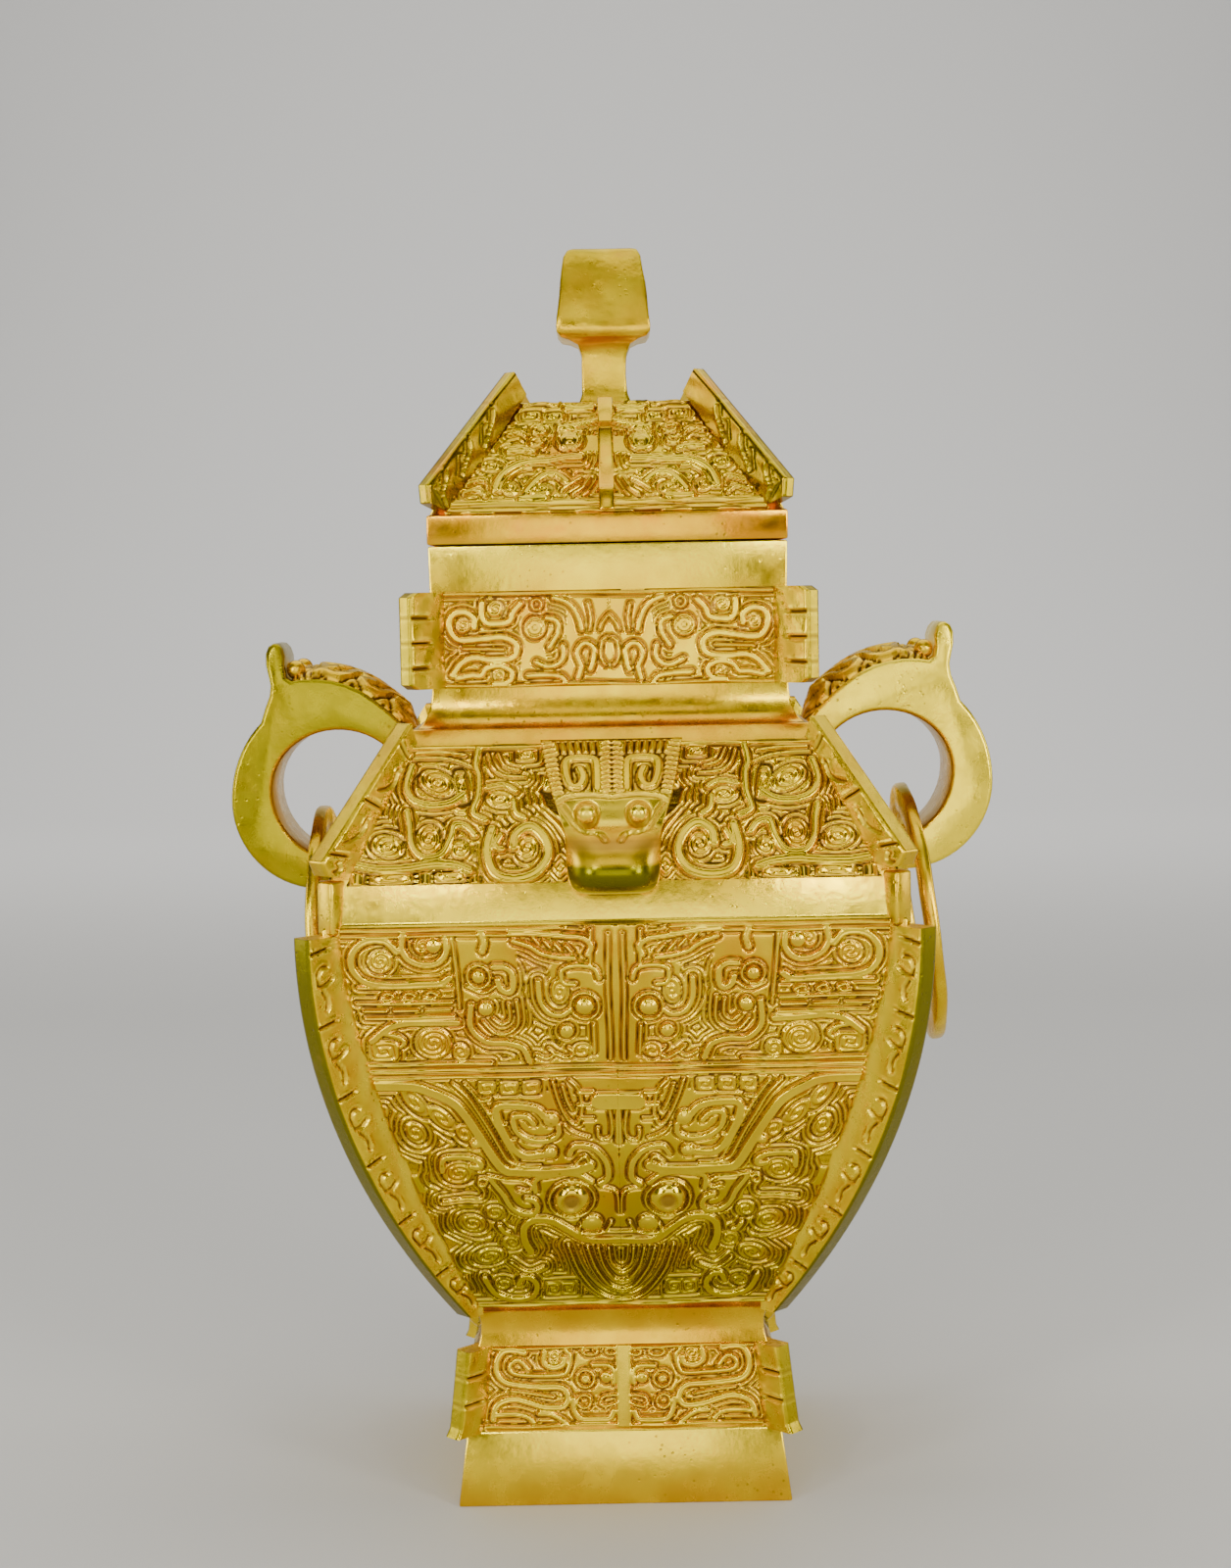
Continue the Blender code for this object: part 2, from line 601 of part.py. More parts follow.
class Register:
    """One decorated zone of a side: u runs from the middle to the corner, v from low to high."""

    def __init__(self, bm, profile, low, high, side, margin):
        self.bm = bm
        self.margin = margin / CORNER
        self.profile = profile
        self.low = low
        self.high = high
        self.turn = Matrix.Rotation(QUARTER * side, 3, "Z")

    def flat(self, u, v):
        height = mix(self.low, self.high, v)
        return Vector((u * (profile_half(self.profile, height) - self.margin), height))

    def place(self, spot, lift):
        slope = profile_slope(self.profile, spot.y)
        out = profile_half(self.profile, spot.y) + lift * math.cos(slope)
        return self.turn @ Vector((spot.x, -out, spot.y + lift * math.sin(slope)))

    def band(self, points, half_width, lift=RELIEF):
        """A raised band along a path, tapering a little to its ends."""
        path = smooth_path([self.flat(u, v) for u, v in points], PATH_STEPS)
        left = []
        right = []
        last = len(path) - 1
        for index, spot in enumerate(path):
            way = path[min(index + 1, last)] - path[max(index - 1, 0)]
            normal = Vector((-way.y, way.x)).normalized()
            taper = LINE_END_SHARE if index in (0, last) else 1.0
            left.append(spot + normal * half_width * taper)
            right.append(spot - normal * half_width * taper)
        lows = [[], []]
        tops = [[], []]
        for number, edge in enumerate((left, right)):
            for spot in edge:
                lows[number].append(self.bm.verts.new(self.place(spot, -RELIEF_SINK)))
                tops[number].append(self.bm.verts.new(self.place(spot, lift)))
        for index in range(last):
            after = index + 1
            self.bm.faces.new((tops[0][index], tops[0][after], tops[1][after], tops[1][index]))
            self.bm.faces.new((lows[0][after], lows[0][index], lows[1][index], lows[1][after]))
            self.bm.faces.new((lows[0][index], lows[0][after], tops[0][after], tops[0][index]))
            self.bm.faces.new((lows[1][after], lows[1][index], tops[1][index], tops[1][after]))
        for end in (0, last):
            self.bm.faces.new((lows[0][end], tops[0][end], tops[1][end], lows[1][end]))

    def boss(self, u, v, radius, lift=BOSS_RELIEF):
        """A raised round knob with a narrower top."""
        middle = self.flat(u, v)
        rings = []
        for size, height in ((radius, -RELIEF_SINK), (radius * BOSS_TOP_SHARE, lift)):
            loop = []
            for index in range(BOSS_SIDES):
                angle = 2 * math.pi * index / BOSS_SIDES
                spot = middle + Vector((math.cos(angle), math.sin(angle))) * size
                loop.append(self.bm.verts.new(self.place(spot, height)))
            rings.append(loop)
        self.bm.faces.new(rings[0])
        self.bm.faces.new(rings[-1][::-1])
        for lower, upper in zip(rings, rings[1:]):
            for index in range(BOSS_SIDES):
                after = (index + 1) % BOSS_SIDES
                self.bm.faces.new((lower[index], upper[index], upper[after], lower[after]))

    def mirrored_band(self, points, half_width, lift=RELIEF):
        for sign in (-1, 1):
            self.band([(sign * u, v) for u, v in points], half_width, lift)

    def mirrored_boss(self, u, v, radius, lift=BOSS_RELIEF):
        for sign in (-1, 1):
            self.boss(sign * u, v, radius, lift)


def mirror_path(points):
    """Half a path from the middle line, joined to its mirror image."""
    return [(-u, v) for u, v in points[::-1]] + [(u, v) for u, v in points]


def lower_mask(zone, full):
    """Great mask: horns, eyes, nostrils, mouth and tongue."""
    zone.mirrored_boss(0.25, 0.46, GREAT_EYE)
    zone.mirrored_band([(0.88, 0.96), (0.74, 0.88), (0.65, 0.76), (0.55, 0.61), (0.2, 0.59)], WIDE_LINE)
    zone.band(mirror_path([(0.12, 0.29), (0.28, 0.34), (0.44, 0.39), (0.55, 0.28)]), THIN_LINE)
    if not full:
        return
    zone.band([(0.0, 0.95), (0.0, 0.88)], CROWN_LINE)
    zone.band([(0.0, 0.84), (0.0, 0.70)], WIDE_LINE)
    zone.mirrored_boss(0.15, 0.36, SMALL_BOSS)
    zone.mirrored_band([(0.34, 0.85), (0.50, 0.83), (0.34, 0.69)], LINE)
    zone.band(mirror_path([(0.07, 0.07), (0.24, 0.20)]), THIN_LINE)
    zone.mirrored_band([(0.84, 0.65), (0.88, 0.56), (0.72, 0.52)], LINE)
    zone.mirrored_band([(0.86, 0.18), (0.78, 0.06), (0.56, 0.13)], LINE)


def upper_mask(zone, full):
    """Small mask on the nose rib, with a long-bodied beast on each side."""
    zone.band([(0.0, 0.04), (0.0, 0.97)], RIB_LINE)
    zone.mirrored_boss(0.14, 0.44, MASK_EYE)
    zone.mirrored_band([(0.80, 0.80), (0.92, 0.88), (0.96, 0.68), (0.66, 0.58)], LINE)
    if not full:
        return
    zone.mirrored_boss(0.51, 0.68, MASK_EYE)
    zone.mirrored_band([(0.40, 0.95), (0.28, 0.86), (0.14, 0.84)], WIDE_LINE)
    zone.mirrored_boss(0.72, 0.20, MASK_EYE, RELIEF)
    zone.mirrored_band([(0.56, 0.50), (0.58, 0.32), (0.42, 0.24)], LINE)


def shoulder_beasts(zone, full):
    """Curled beast on each half of the shoulder."""
    zone.mirrored_band([(0.55, 0.42), (0.50, 0.14), (0.38, 0.12), (0.34, 0.34)], LINE)
    if not full:
        return
    zone.mirrored_band([(0.90, 0.70), (0.84, 0.88), (0.72, 0.74)], LINE)
    zone.mirrored_band([(0.88, 0.50), (0.80, 0.18), (0.68, 0.46)], LINE)


def band_dragons(zone, full, rib):
    """Two dragons face the middle of the neck or foot band."""
    body = [(0.66, 0.80), (0.90, 0.82), (0.86, 0.54), (0.58, 0.48), (0.88, 0.24)]
    zone.mirrored_band(body, THIN_LINE)
    if rib:
        zone.band([(0.0, 0.05), (0.0, 0.95)], LINE)
    if full:
        zone.mirrored_boss(0.34, 0.60, DRAGON_EYE, RELIEF)


def lid_mask(zone, full):
    """Mask on one slope of the lid, split by its ridge."""
    zone.mirrored_boss(0.32, 0.62, MASK_EYE)
    zone.mirrored_band([(0.82, 0.12), (0.64, 0.38), (0.26, 0.42)], LINE)
    if full:
        zone.mirrored_boss(0.42, 0.16, SMALL_BOSS, RELIEF)


def body_shell(profile):
    """The hollow casting: outside, over the mouth, down the inside, and the hollow foot."""
    inside = [(MOUTH_HALF, Z_MOUTH), (MOUTH_HALF, Z_COVE + 2 * WALL)]
    inside.append((SHOULDER_TOP_HALF - WALL - BURY, Z_COVE))
    inside.append((SHOULDER_BOTTOM_HALF - WALL, Z_SHOULDER))
    floor_top = Z_BELLY + FLOOR
    for step in range(BELLY_STEPS, 0, -1):
        height = mix(Z_BELLY, Z_PLAIN_BAND, step / BELLY_STEPS)
        if height > floor_top + WALL:
            inside.append((belly_half(step / BELLY_STEPS) - WALL, height))
    inside.append((profile_half(profile, floor_top) - WALL, floor_top))
    inside.append((0.0, floor_top))
    under = [(0.0, Z_BELLY), (WAIST_HALF - WALL, Z_BELLY)]
    under.append((FOOT_TOP_HALF - WALL, Z_WAIST))
    under.append((FOOT_BOTTOM_HALF - WALL, 0.0))
    outline = inside[::-1] + profile[::-1]
    return square_turn("vessel_body", outline + under[::-1])


def relief(profile):
    """The cast relief of all four sides."""
    bm = bmesh.new()
    for side in range(SIDES):
        full = side == FRONT

        def zone(low, high, flange=FLANGE_THICKNESS):
            return Register(bm, profile, low, high, side, flange)
        lower_mask(zone(Z_BELLY, Z_UPPER_REGISTER), full)
        upper_mask(zone(Z_UPPER_REGISTER, Z_PLAIN_BAND), full)
        shoulder_beasts(zone(Z_SHOULDER, Z_COVE), full)
        band_dragons(zone(Z_NECK_BAND, Z_RIM, NECK_FLANGE_THICKNESS), full, False)
        band_dragons(zone(Z_FOOT_BAND, Z_WAIST, FOOT_FLANGE_THICKNESS), full, True)
    return mesh_object("relief", bm)


def animal_heads(profile):
    """Broad-muzzled animal head on the front and the back of the shoulder."""
    bm = bmesh.new()
    for side in (FRONT, BACK):
        turn = Matrix.Rotation(QUARTER * side, 3, "Z")
        loops = []
        for v, width_share, out_share in HEAD_STATIONS:
            height = mix(Z_SHOULDER, Z_COVE, v)
            half = mix(MUZZLE_WIDTH, HEAD_TOP_WIDTH, width_share) / 2
            face = profile_half(profile, height)
            out = MUZZLE_OUT * out_share
            cheek = out * HEAD_CHEEK_SHARE
            flat = half * HEAD_FACE_SHARE
            section = (
                (-half, -BURY), (-half, cheek), (-flat, out), (flat, out), (half, cheek), (half, -BURY),
            )
            loops.append([bm.verts.new(turn @ Vector((x, -face - y, height))) for x, y in section])
        for upper, lower in zip(loops, loops[1:]):
            for index in range(len(upper)):
                after = (index + 1) % len(upper)
                bm.faces.new((upper[index], upper[after], lower[after], lower[index]))
        bm.faces.new(loops[0])
        bm.faces.new(loops[-1][::-1])
    return mesh_object("animal_heads", bm)


def head_eyes(profile):
    """Eye balls of the front and back heads."""
    bm = bmesh.new()
    height = mix(Z_SHOULDER, Z_COVE, HEAD_EYE_V)
    out = profile_half(profile, height) + MUZZLE_OUT * HEAD_EYE_OUT_SHARE
    for side in (FRONT, BACK):
        turn = Matrix.Rotation(QUARTER * side, 3, "Z")
        for sign in (-1, 1):
            eye = bmesh.ops.create_icosphere(bm, subdivisions=BALL_DETAIL, radius=HEAD_EYE_RADIUS)
            spot = turn @ Vector((sign * HEAD_EYE_SPACING / 2, -out, height))
            bmesh.ops.translate(bm, verts=eye["verts"], vec=spot)
    return mesh_object("head_eyes", bm)


def head_horns(profile):
    """Two curled horns above each animal head."""
    bm = bmesh.new()
    for side in (FRONT, BACK):
        zone = Register(bm, profile, Z_SHOULDER, Z_COVE, side, FLANGE_THICKNESS)
        horn = [(0.07, 0.60), (0.09, 0.84), (0.22, 0.86), (0.25, 0.68), (0.17, 0.66)]
        zone.mirrored_band(horn, HORN_LINE, MUZZLE_OUT * HORN_OUT_SHARE)
    return mesh_object("head_horns", bm)


def waist_lugs():
    """One small upright oval lug on the middle of each handle side."""
    bm = bmesh.new()
    for sign in (-1, 1):
        lug = bmesh.ops.create_icosphere(bm, subdivisions=BALL_DETAIL, radius=1.0)
        size = Matrix.Diagonal((LUG_OUT, LUG_WIDTH / 2, LUG_HEIGHT / 2))
        bmesh.ops.transform(bm, verts=lug["verts"], matrix=size.to_4x4())
        bmesh.ops.translate(bm, verts=lug["verts"], vec=(sign * FOOT_TOP_HALF, 0, Z_WAIST))
    return mesh_object("waist_lugs", bm)


def vessel_body(material):
    profile = body_profile()
    body = body_shell(profile)
    unite(body, relief(profile))
    unite(body, foot_flanges(profile))
    unite(body, neck_flanges(profile))
    unite(body, body_flanges(profile))
    outline = handle_outline(profile)
    unite(body, handle("handle_right", outline, 1, 0.0))
    unite(body, handle("handle_left", outline, -1, LEFT_HANDLE_DROP))
    unite(body, handle_eyes("handle_eyes_right", 1, 0.0))
    unite(body, handle_eyes("handle_eyes_left", -1, LEFT_HANDLE_DROP))
    unite(body, animal_heads(profile))
    unite(body, head_eyes(profile))
    unite(body, head_horns(profile))
    unite(body, waist_lugs())
    tidy_mesh(body)
    body.data.materials.clear()
    body.data.materials.append(material)
    return body


def roof_profile():
    """Outside of the lid as (half width, height)."""
    return [(LID_HALF, Z_LID), (LID_HALF, Z_ROOF), (LID_EAVE_HALF, Z_ROOF), (LID_TOP_HALF, Z_LID_TOP)]


def lid_shell():
    """Hollow lid with a collar that drops into the mouth."""
    collar = MOUTH_HALF - COLLAR_CLEARANCE
    inner = collar - COLLAR_WALL
    bottom = Z_LID - COLLAR_DEPTH
    slope = (LID_EAVE_HALF - LID_TOP_HALF) / LID_ROOF_HEIGHT
    ceiling = Z_LID_TOP - LID_WALL
    spring_half = inner
    reach = math.sqrt(1 + slope * slope) * LID_WALL
    top_half = LID_TOP_HALF + slope * LID_WALL - reach
    spring = ceiling - (spring_half - top_half) / slope
    outline = [(0.0, Z_LID_TOP), (LID_TOP_HALF, Z_LID_TOP), (LID_EAVE_HALF, Z_ROOF)]
    outline += [(LID_HALF, Z_ROOF), (LID_HALF, Z_LID), (collar, Z_LID), (collar, bottom)]
    outline += [(inner, bottom), (inner, spring), (top_half, ceiling), (0.0, ceiling)]
    return square_turn("lid", outline)


def hip_flanges():
    """Horned flanges along the lid's four hips."""
    foot = Z_ROOF + HIP_FLANGE_CLEAR
    low = foot + HIP_FLANGE_LIFT
    top = Z_LID_TOP + HIP_HORN_RISE
    heel = Z_ROOF - BURY / 2

    def edge(height):
        return mix(HIP_FLANGE_LOW_HALF, HIP_FLANGE_TOP_HALF, (height - low) / (top - low))
    outer = notched_edge(edge, top, low, HIP_NOTCHES)
    under = [
        (HIP_FLANGE_LOW_HALF - HIP_HEEL_IN, foot + HIP_HEEL_LIFT),
        (LID_EAVE_HALF + HIP_HEEL_OUT, heel),
        (LID_EAVE_HALF - 2 * BURY, heel),
    ]
    inner = [
        (LID_TOP_HALF - BURY, Z_LID_TOP - BURY),
        (LID_TOP_HALF - HIP_NECK_IN, Z_LID_TOP + HIP_NECK_LIFT),
        (edge(top) - HIP_HORN_IN, top - HIP_HORN_DROP),
    ]
    return corner_plates("hip_flanges", outer + under + inner, HIP_FLANGE_THICKNESS)


def slope_ridges():
    """A narrow ridge down the middle of each slope, with a block at either end."""
    bm = bmesh.new()
    slope = (LID_EAVE_HALF - LID_TOP_HALF) / LID_ROOF_HEIGHT

    def skin(height):
        return LID_EAVE_HALF - (height - Z_ROOF) * slope
    low = Z_ROOF + RIDGE_CLEAR
    top = Z_LID_TOP + RIDGE_TOP_LIFT
    low_block = low + RIDGE_BLOCK_LENGTH
    top_block = Z_LID_TOP - RIDGE_BLOCK_LENGTH
    outer = [
        (skin(Z_LID_TOP) + RIDGE_BLOCK_OUT * RIDGE_TOP_SHARE, top),
        (skin(top_block) + RIDGE_BLOCK_OUT, top_block),
        (skin(top_block) + RIDGE_OUT, top_block - RIDGE_BLOCK_STEP),
        (skin(low_block) + RIDGE_OUT, low_block + RIDGE_BLOCK_STEP),
        (skin(low_block) + RIDGE_BLOCK_OUT, low_block),
        (skin(low) + RIDGE_BLOCK_OUT * RIDGE_LOW_SHARE, low),
    ]
    inner = [
        (skin(low) - BURY, low),
        (skin(Z_LID_TOP - BURY) - BURY, Z_LID_TOP - BURY),
        (skin(Z_LID_TOP) - BURY, top),
    ]
    for side in range(SIDES):
        plate(bm, outer + inner, RIDGE_WIDTH, QUARTER * side)
    return mesh_object("slope_ridges", bm)


def loft_blocks(name, levels):
    """A stack of rectangles (half in x, half in y, height), bridged from the lowest up."""
    bm = bmesh.new()
    loops = []
    for half_x, half_y, height in levels:
        corners = ((-half_x, -half_y), (half_x, -half_y), (half_x, half_y), (-half_x, half_y))
        loops.append([bm.verts.new((x, y, height)) for x, y in corners])
    bm.faces.new(loops[0][::-1])
    bm.faces.new(loops[-1])
    for lower, upper in zip(loops, loops[1:]):
        for index in range(SIDES):
            after = (index + 1) % SIDES
            bm.faces.new((lower[index], lower[after], upper[after], upper[index]))
    return mesh_object(name, bm)


def knob():
    """Square stem and a knob like a small steep roof."""
    eave = Z_KNOB + KNOB_BEVEL_HEIGHT
    top = eave + KNOB_ROOF_HEIGHT
    foot = STEM_HALF * STEM_FOOT_SHARE
    head = STEM_HALF * STEM_HEAD_SHARE
    under = KNOB_EAVE_HALF * KNOB_UNDER_SHARE
    depth = KNOB_EAVE_HALF * KNOB_EAVE_DEPTH_SHARE
    hip_depth = KNOB_EAVE_HALF * KNOB_HIP_DEPTH_SHARE
    ridge = KNOB_RIDGE_THICKNESS / 2
    levels = [
        (foot, foot, Z_LID_TOP - BURY),
        (foot, foot, Z_LID_TOP + STEM_FOOT_LOW),
        (STEM_HALF, STEM_HALF, Z_LID_TOP + STEM_FOOT_HEIGHT),
        (STEM_HALF, STEM_HALF, Z_KNOB - STEM_HEAD_HEIGHT),
        (head, head, Z_KNOB),
        (under, under * KNOB_EAVE_DEPTH_SHARE, Z_KNOB + KNOB_BEVEL_STEP),
        (KNOB_EAVE_HALF, depth, eave),
        (mix(KNOB_EAVE_HALF, KNOB_RIDGE_HALF, KNOB_HIP_SHARE), hip_depth, mix(eave, top, KNOB_HIP_SHARE)),
        (KNOB_RIDGE_HALF + KNOB_RIDGE_ROUNDING, 2 * ridge, top - KNOB_RIDGE_DROP),
        (KNOB_RIDGE_HALF - KNOB_RIDGE_ROUNDING, ridge, top),
    ]
    return loft_blocks("knob", levels)


def lid_relief():
    bm = bmesh.new()
    profile = roof_profile()[1:]
    profile[0] = (LID_EAVE_HALF, Z_ROOF - WELD)
    for side in range(SIDES):
        zone = Register(bm, profile, Z_ROOF, Z_LID_TOP, side, HIP_FLANGE_THICKNESS)
        lid_mask(zone, side == FRONT)
    return mesh_object("lid_relief", bm)


def lid(material):
    made = lid_shell()
    unite(made, lid_relief())
    unite(made, hip_flanges())
    unite(made, slope_ridges())
    unite(made, knob())
    tidy_mesh(made)
    made.data.materials.clear()
    made.data.materials.append(material)
    return made


def main():
    clear_scene()
    gilt = make_material("gilt_bronze", (0.80, 0.53, 0.10), 1.0, 0.34)
    lid_gilt = make_material("lid_gilt_bronze", (0.82, 0.55, 0.11), 1.0, 0.34)
    ring_gilt = make_material("ring_gilt_bronze", (0.76, 0.56, 0.16), 1.0, 0.38)
    vessel_body(gilt)
    lid(lid_gilt)
    ring("ring_right", RIGHT_RING_X, RIGHT_RING_LEAN, 0.0, ring_gilt)
    ring("ring_left", LEFT_RING_X, 0.0, LEFT_HANDLE_DROP, ring_gilt)


main()
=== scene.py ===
# %% [markdown]
# # Dressing a lidded square bottle of gilt bronze
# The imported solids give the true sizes. This lesson lays the finished casting over them: a hollow
# core, panels of carved relief, corner flanges, handles with animal heads, rings and a lid.
# Every piece is made in the same frame as the solids, so nothing has to be fitted. Sizes are
# written in millimetres and become metres when the points are moved.

# %% Load the frame
import math

import bpy
import numpy as np
from mathutils import Matrix


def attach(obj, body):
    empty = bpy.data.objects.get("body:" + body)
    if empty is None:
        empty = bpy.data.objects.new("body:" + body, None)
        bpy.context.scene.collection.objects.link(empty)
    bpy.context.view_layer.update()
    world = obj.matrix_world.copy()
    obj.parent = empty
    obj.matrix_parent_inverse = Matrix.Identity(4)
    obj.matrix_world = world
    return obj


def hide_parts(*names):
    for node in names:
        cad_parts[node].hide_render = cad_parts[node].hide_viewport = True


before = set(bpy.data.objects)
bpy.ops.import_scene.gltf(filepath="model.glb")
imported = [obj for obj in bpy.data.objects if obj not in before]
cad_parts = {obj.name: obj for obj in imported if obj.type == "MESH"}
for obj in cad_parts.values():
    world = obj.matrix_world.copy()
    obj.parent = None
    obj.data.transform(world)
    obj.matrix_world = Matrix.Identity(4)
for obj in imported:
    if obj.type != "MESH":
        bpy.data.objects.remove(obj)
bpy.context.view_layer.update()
MM = 0.001
ROOT2 = math.sqrt(2)
QUARTER = math.pi / 2
print("nodes:", sorted(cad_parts))

# %% [markdown]
# ## Small helpers
# An operator works on whatever is selected, so each step first clears the selection. What several
# pieces need is written once: going in and out of edit mode, closing a sheet's open edge, cutting
# a plate to an outline, softening edges. A finished piece is given its finish and its body in one
# place, and the solid that it stands for is hidden.


# %% Helpers for operators
def deselect():
    if bpy.context.object and bpy.context.object.mode != "OBJECT":
        bpy.ops.object.mode_set(mode="OBJECT")
    bpy.ops.object.select_all(action="DESELECT")


def only(piece):
    deselect()
    piece.select_set(True)
    bpy.context.view_layer.objects.active = piece


def named(name):
    """Name the piece that the last operator added."""
    piece = bpy.context.object
    piece.name = name
    piece.data.name = name
    return piece


def edit_all():
    """Go into edit mode with the whole mesh selected."""
    bpy.ops.object.mode_set(mode="EDIT")
    bpy.ops.mesh.select_all(action="SELECT")


def leave_edit():
    bpy.ops.object.mode_set(mode="OBJECT")


def extrude(along_y, along_z):
    bpy.ops.mesh.extrude_region_move(TRANSFORM_OT_translate={"value": (0, along_y * MM, along_z * MM)})


def settle(piece):
    """Put the piece's place into its mesh, and turn its faces outwards."""
    only(piece)
    bpy.ops.object.transform_apply(location=True, rotation=True, scale=True)
    edit_all()
    bpy.ops.mesh.normals_make_consistent(inside=False)
    leave_edit()


def modify(piece, kind, **values):
    """Add one modifier, set it and apply it."""
    only(piece)
    modifier = piece.modifiers.new(kind.title(), kind)
    for key, value in values.items():
        setattr(modifier, key, value)
    bpy.ops.object.modifier_apply(modifier=modifier.name)


def soften(piece, width, segments, degrees=30):
    """Bevel the edges that turn by more than so many degrees."""
    modify(piece, "BEVEL", width=width * MM, segments=segments, limit_method="ANGLE",
           angle_limit=math.radians(degrees))


def smooth(piece, degrees=None):
    """Shade smooth all over, or only across edges that turn by less than so many degrees."""
    only(piece)
    if degrees:
        bpy.ops.object.shade_smooth_by_angle(angle=math.radians(degrees))
    else:
        bpy.ops.object.shade_smooth()


# %% Helpers for points and tones
def points_of(piece, unit=MM):
    """The places of a mesh's points, in millimetres unless another unit is given."""
    flat = np.empty(len(piece.data.vertices) * 3)
    piece.data.vertices.foreach_get("co", flat)
    return flat.reshape(-1, 3) / unit


def move_points(piece, points, quarter=0):
    """Put the points at places in millimetres, carried round the axis by quarter turns."""
    cosine, sine = math.cos(QUARTER * quarter), math.sin(QUARTER * quarter)
    x, y, z = (points * MM).T
    places = np.stack([x * cosine - y * sine, x * sine + y * cosine, z], axis=1)
    piece.data.vertices.foreach_set("co", places.ravel())
    piece.data.update()


def ramp(value, start, end):
    """0 at the start, 1 at the end, straight between and flat outside."""
    return np.clip((value - start) / (end - start), 0, 1)


def paint(piece, **tones):
    """Keep one number per point under each name, for the finish to read."""
    for name, values in tones.items():
        layer = piece.data.attributes.new(name, "FLOAT", "POINT")
        layer.data.foreach_set("value", np.broadcast_to(values, len(layer.data)).astype(np.float32))


def triangles(piece):
    return sum(len(face.vertices) - 2 for face in piece.data.polygons)


def hand_over(piece, finish, node="vessel_body"):
    piece.data.materials.append(finish)
    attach(piece, "root")
    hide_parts(node)
    print(f"{piece.name}: {triangles(piece)} triangles")


# %% Helpers for sheets, plates and paths
def sheet(name, columns, rows):
    """A flat grid from -1 to 1 both ways, to be bent into a piece."""
    deselect()
    bpy.ops.mesh.primitive_grid_add(x_subdivisions=columns, y_subdivisions=rows, size=2)
    return named(name)


def close_sheet(piece, skirt=False):
    """Close the open edge of a sheet, after a skirt is pulled from it where one is wanted."""
    only(piece)
    bpy.ops.object.mode_set(mode="EDIT")
    bpy.ops.mesh.select_mode(type="EDGE")
    bpy.ops.mesh.select_all(action="DESELECT")
    bpy.ops.mesh.select_non_manifold()
    if skirt:
        bpy.ops.mesh.extrude_edges_move()
    bpy.ops.mesh.edge_face_add()
    leave_edit()


def skirted_sheet(name, columns, rows):
    """A closed sheet, where its points lie on the grid, and which of them are the skirt's."""
    piece = sheet(name, columns, rows)
    front = len(piece.data.vertices)
    close_sheet(piece, skirt=True)
    grid = points_of(piece, 1)
    return piece, grid, np.arange(len(grid)) >= front


def cut_plate(name, outline, thickness):
    """A plate cut to an outline of (x, z) points, centred on the middle plane."""
    deselect()
    bpy.ops.mesh.primitive_circle_add(vertices=len(outline), radius=1, fill_type="NGON")
    piece = named(name)
    circle = points_of(piece)
    places = np.zeros(circle.shape)
    order = np.argsort(-np.arctan2(circle[:, 0], circle[:, 1]))
    places[order] = [(x, thickness / 2, z) for x, z in outline]
    move_points(piece, places)
    edit_all()
    extrude(-thickness, 0)
    leave_edit()
    settle(piece)
    return piece


def distances(path):
    """How far along a path each of its points lies."""
    return np.concatenate([[0], np.cumsum(np.hypot(*np.diff(path, axis=0).T))])


def follow(path, share, values=None):
    """Places at shares of a path's length, or other values kept at its points."""
    run = distances(path)
    table = path if values is None else values
    return np.stack([np.interp(share * run[-1], run, column) for column in table.T], axis=1)


# %% [markdown]
# ## The gilding
# The real surface is fire gilding on bronze: saturated yellow gold, olive in patches, orange-brown in
# hollows, and pinkish copper where the gold is thin or the grooves are deep. Light and shade are also
# painted into it: paler gold as a painted highlight on high places, plain bands and lit faces, olive and
# dark gold as painted shade where the light is weak, and near black as painted shade in the deepest
# grooves. One node group lays these tones over each other, from noise and from numbers kept on the
# mesh, so that every piece shares the same metal. A painted image would slide off the relief.

# %% A node group for the gilding and the painted light
# The palest gold stands for a painted highlight; the shaded gold and the darkest brown are painted shade.
GOLD, YELLOW_GOLD, HIGHLIGHT_GOLD = (0.74, 0.45, 0.0), (0.90, 0.62, 0.0), (0.98, 0.74, 0.02)
OLIVE_GOLD, ORANGE_GOLD, SHADED_GOLD = (0.38, 0.32, 0.0), (0.74, 0.31, 0.0), (0.16, 0.14, 0.0)
COPPER, THIN_COPPER = (0.42, 0.18, 0.07), (0.60, 0.27, 0.06)
DEEP_GROOVE_SHADE, PIT_BROWN = (0.05, 0.018, 0.002), (0.10, 0.06, 0.01)
TONES = ("Olive", "Orange", "Copper", "Polish")


def wire(tree, start, end):
    tree.links.new(start, end)


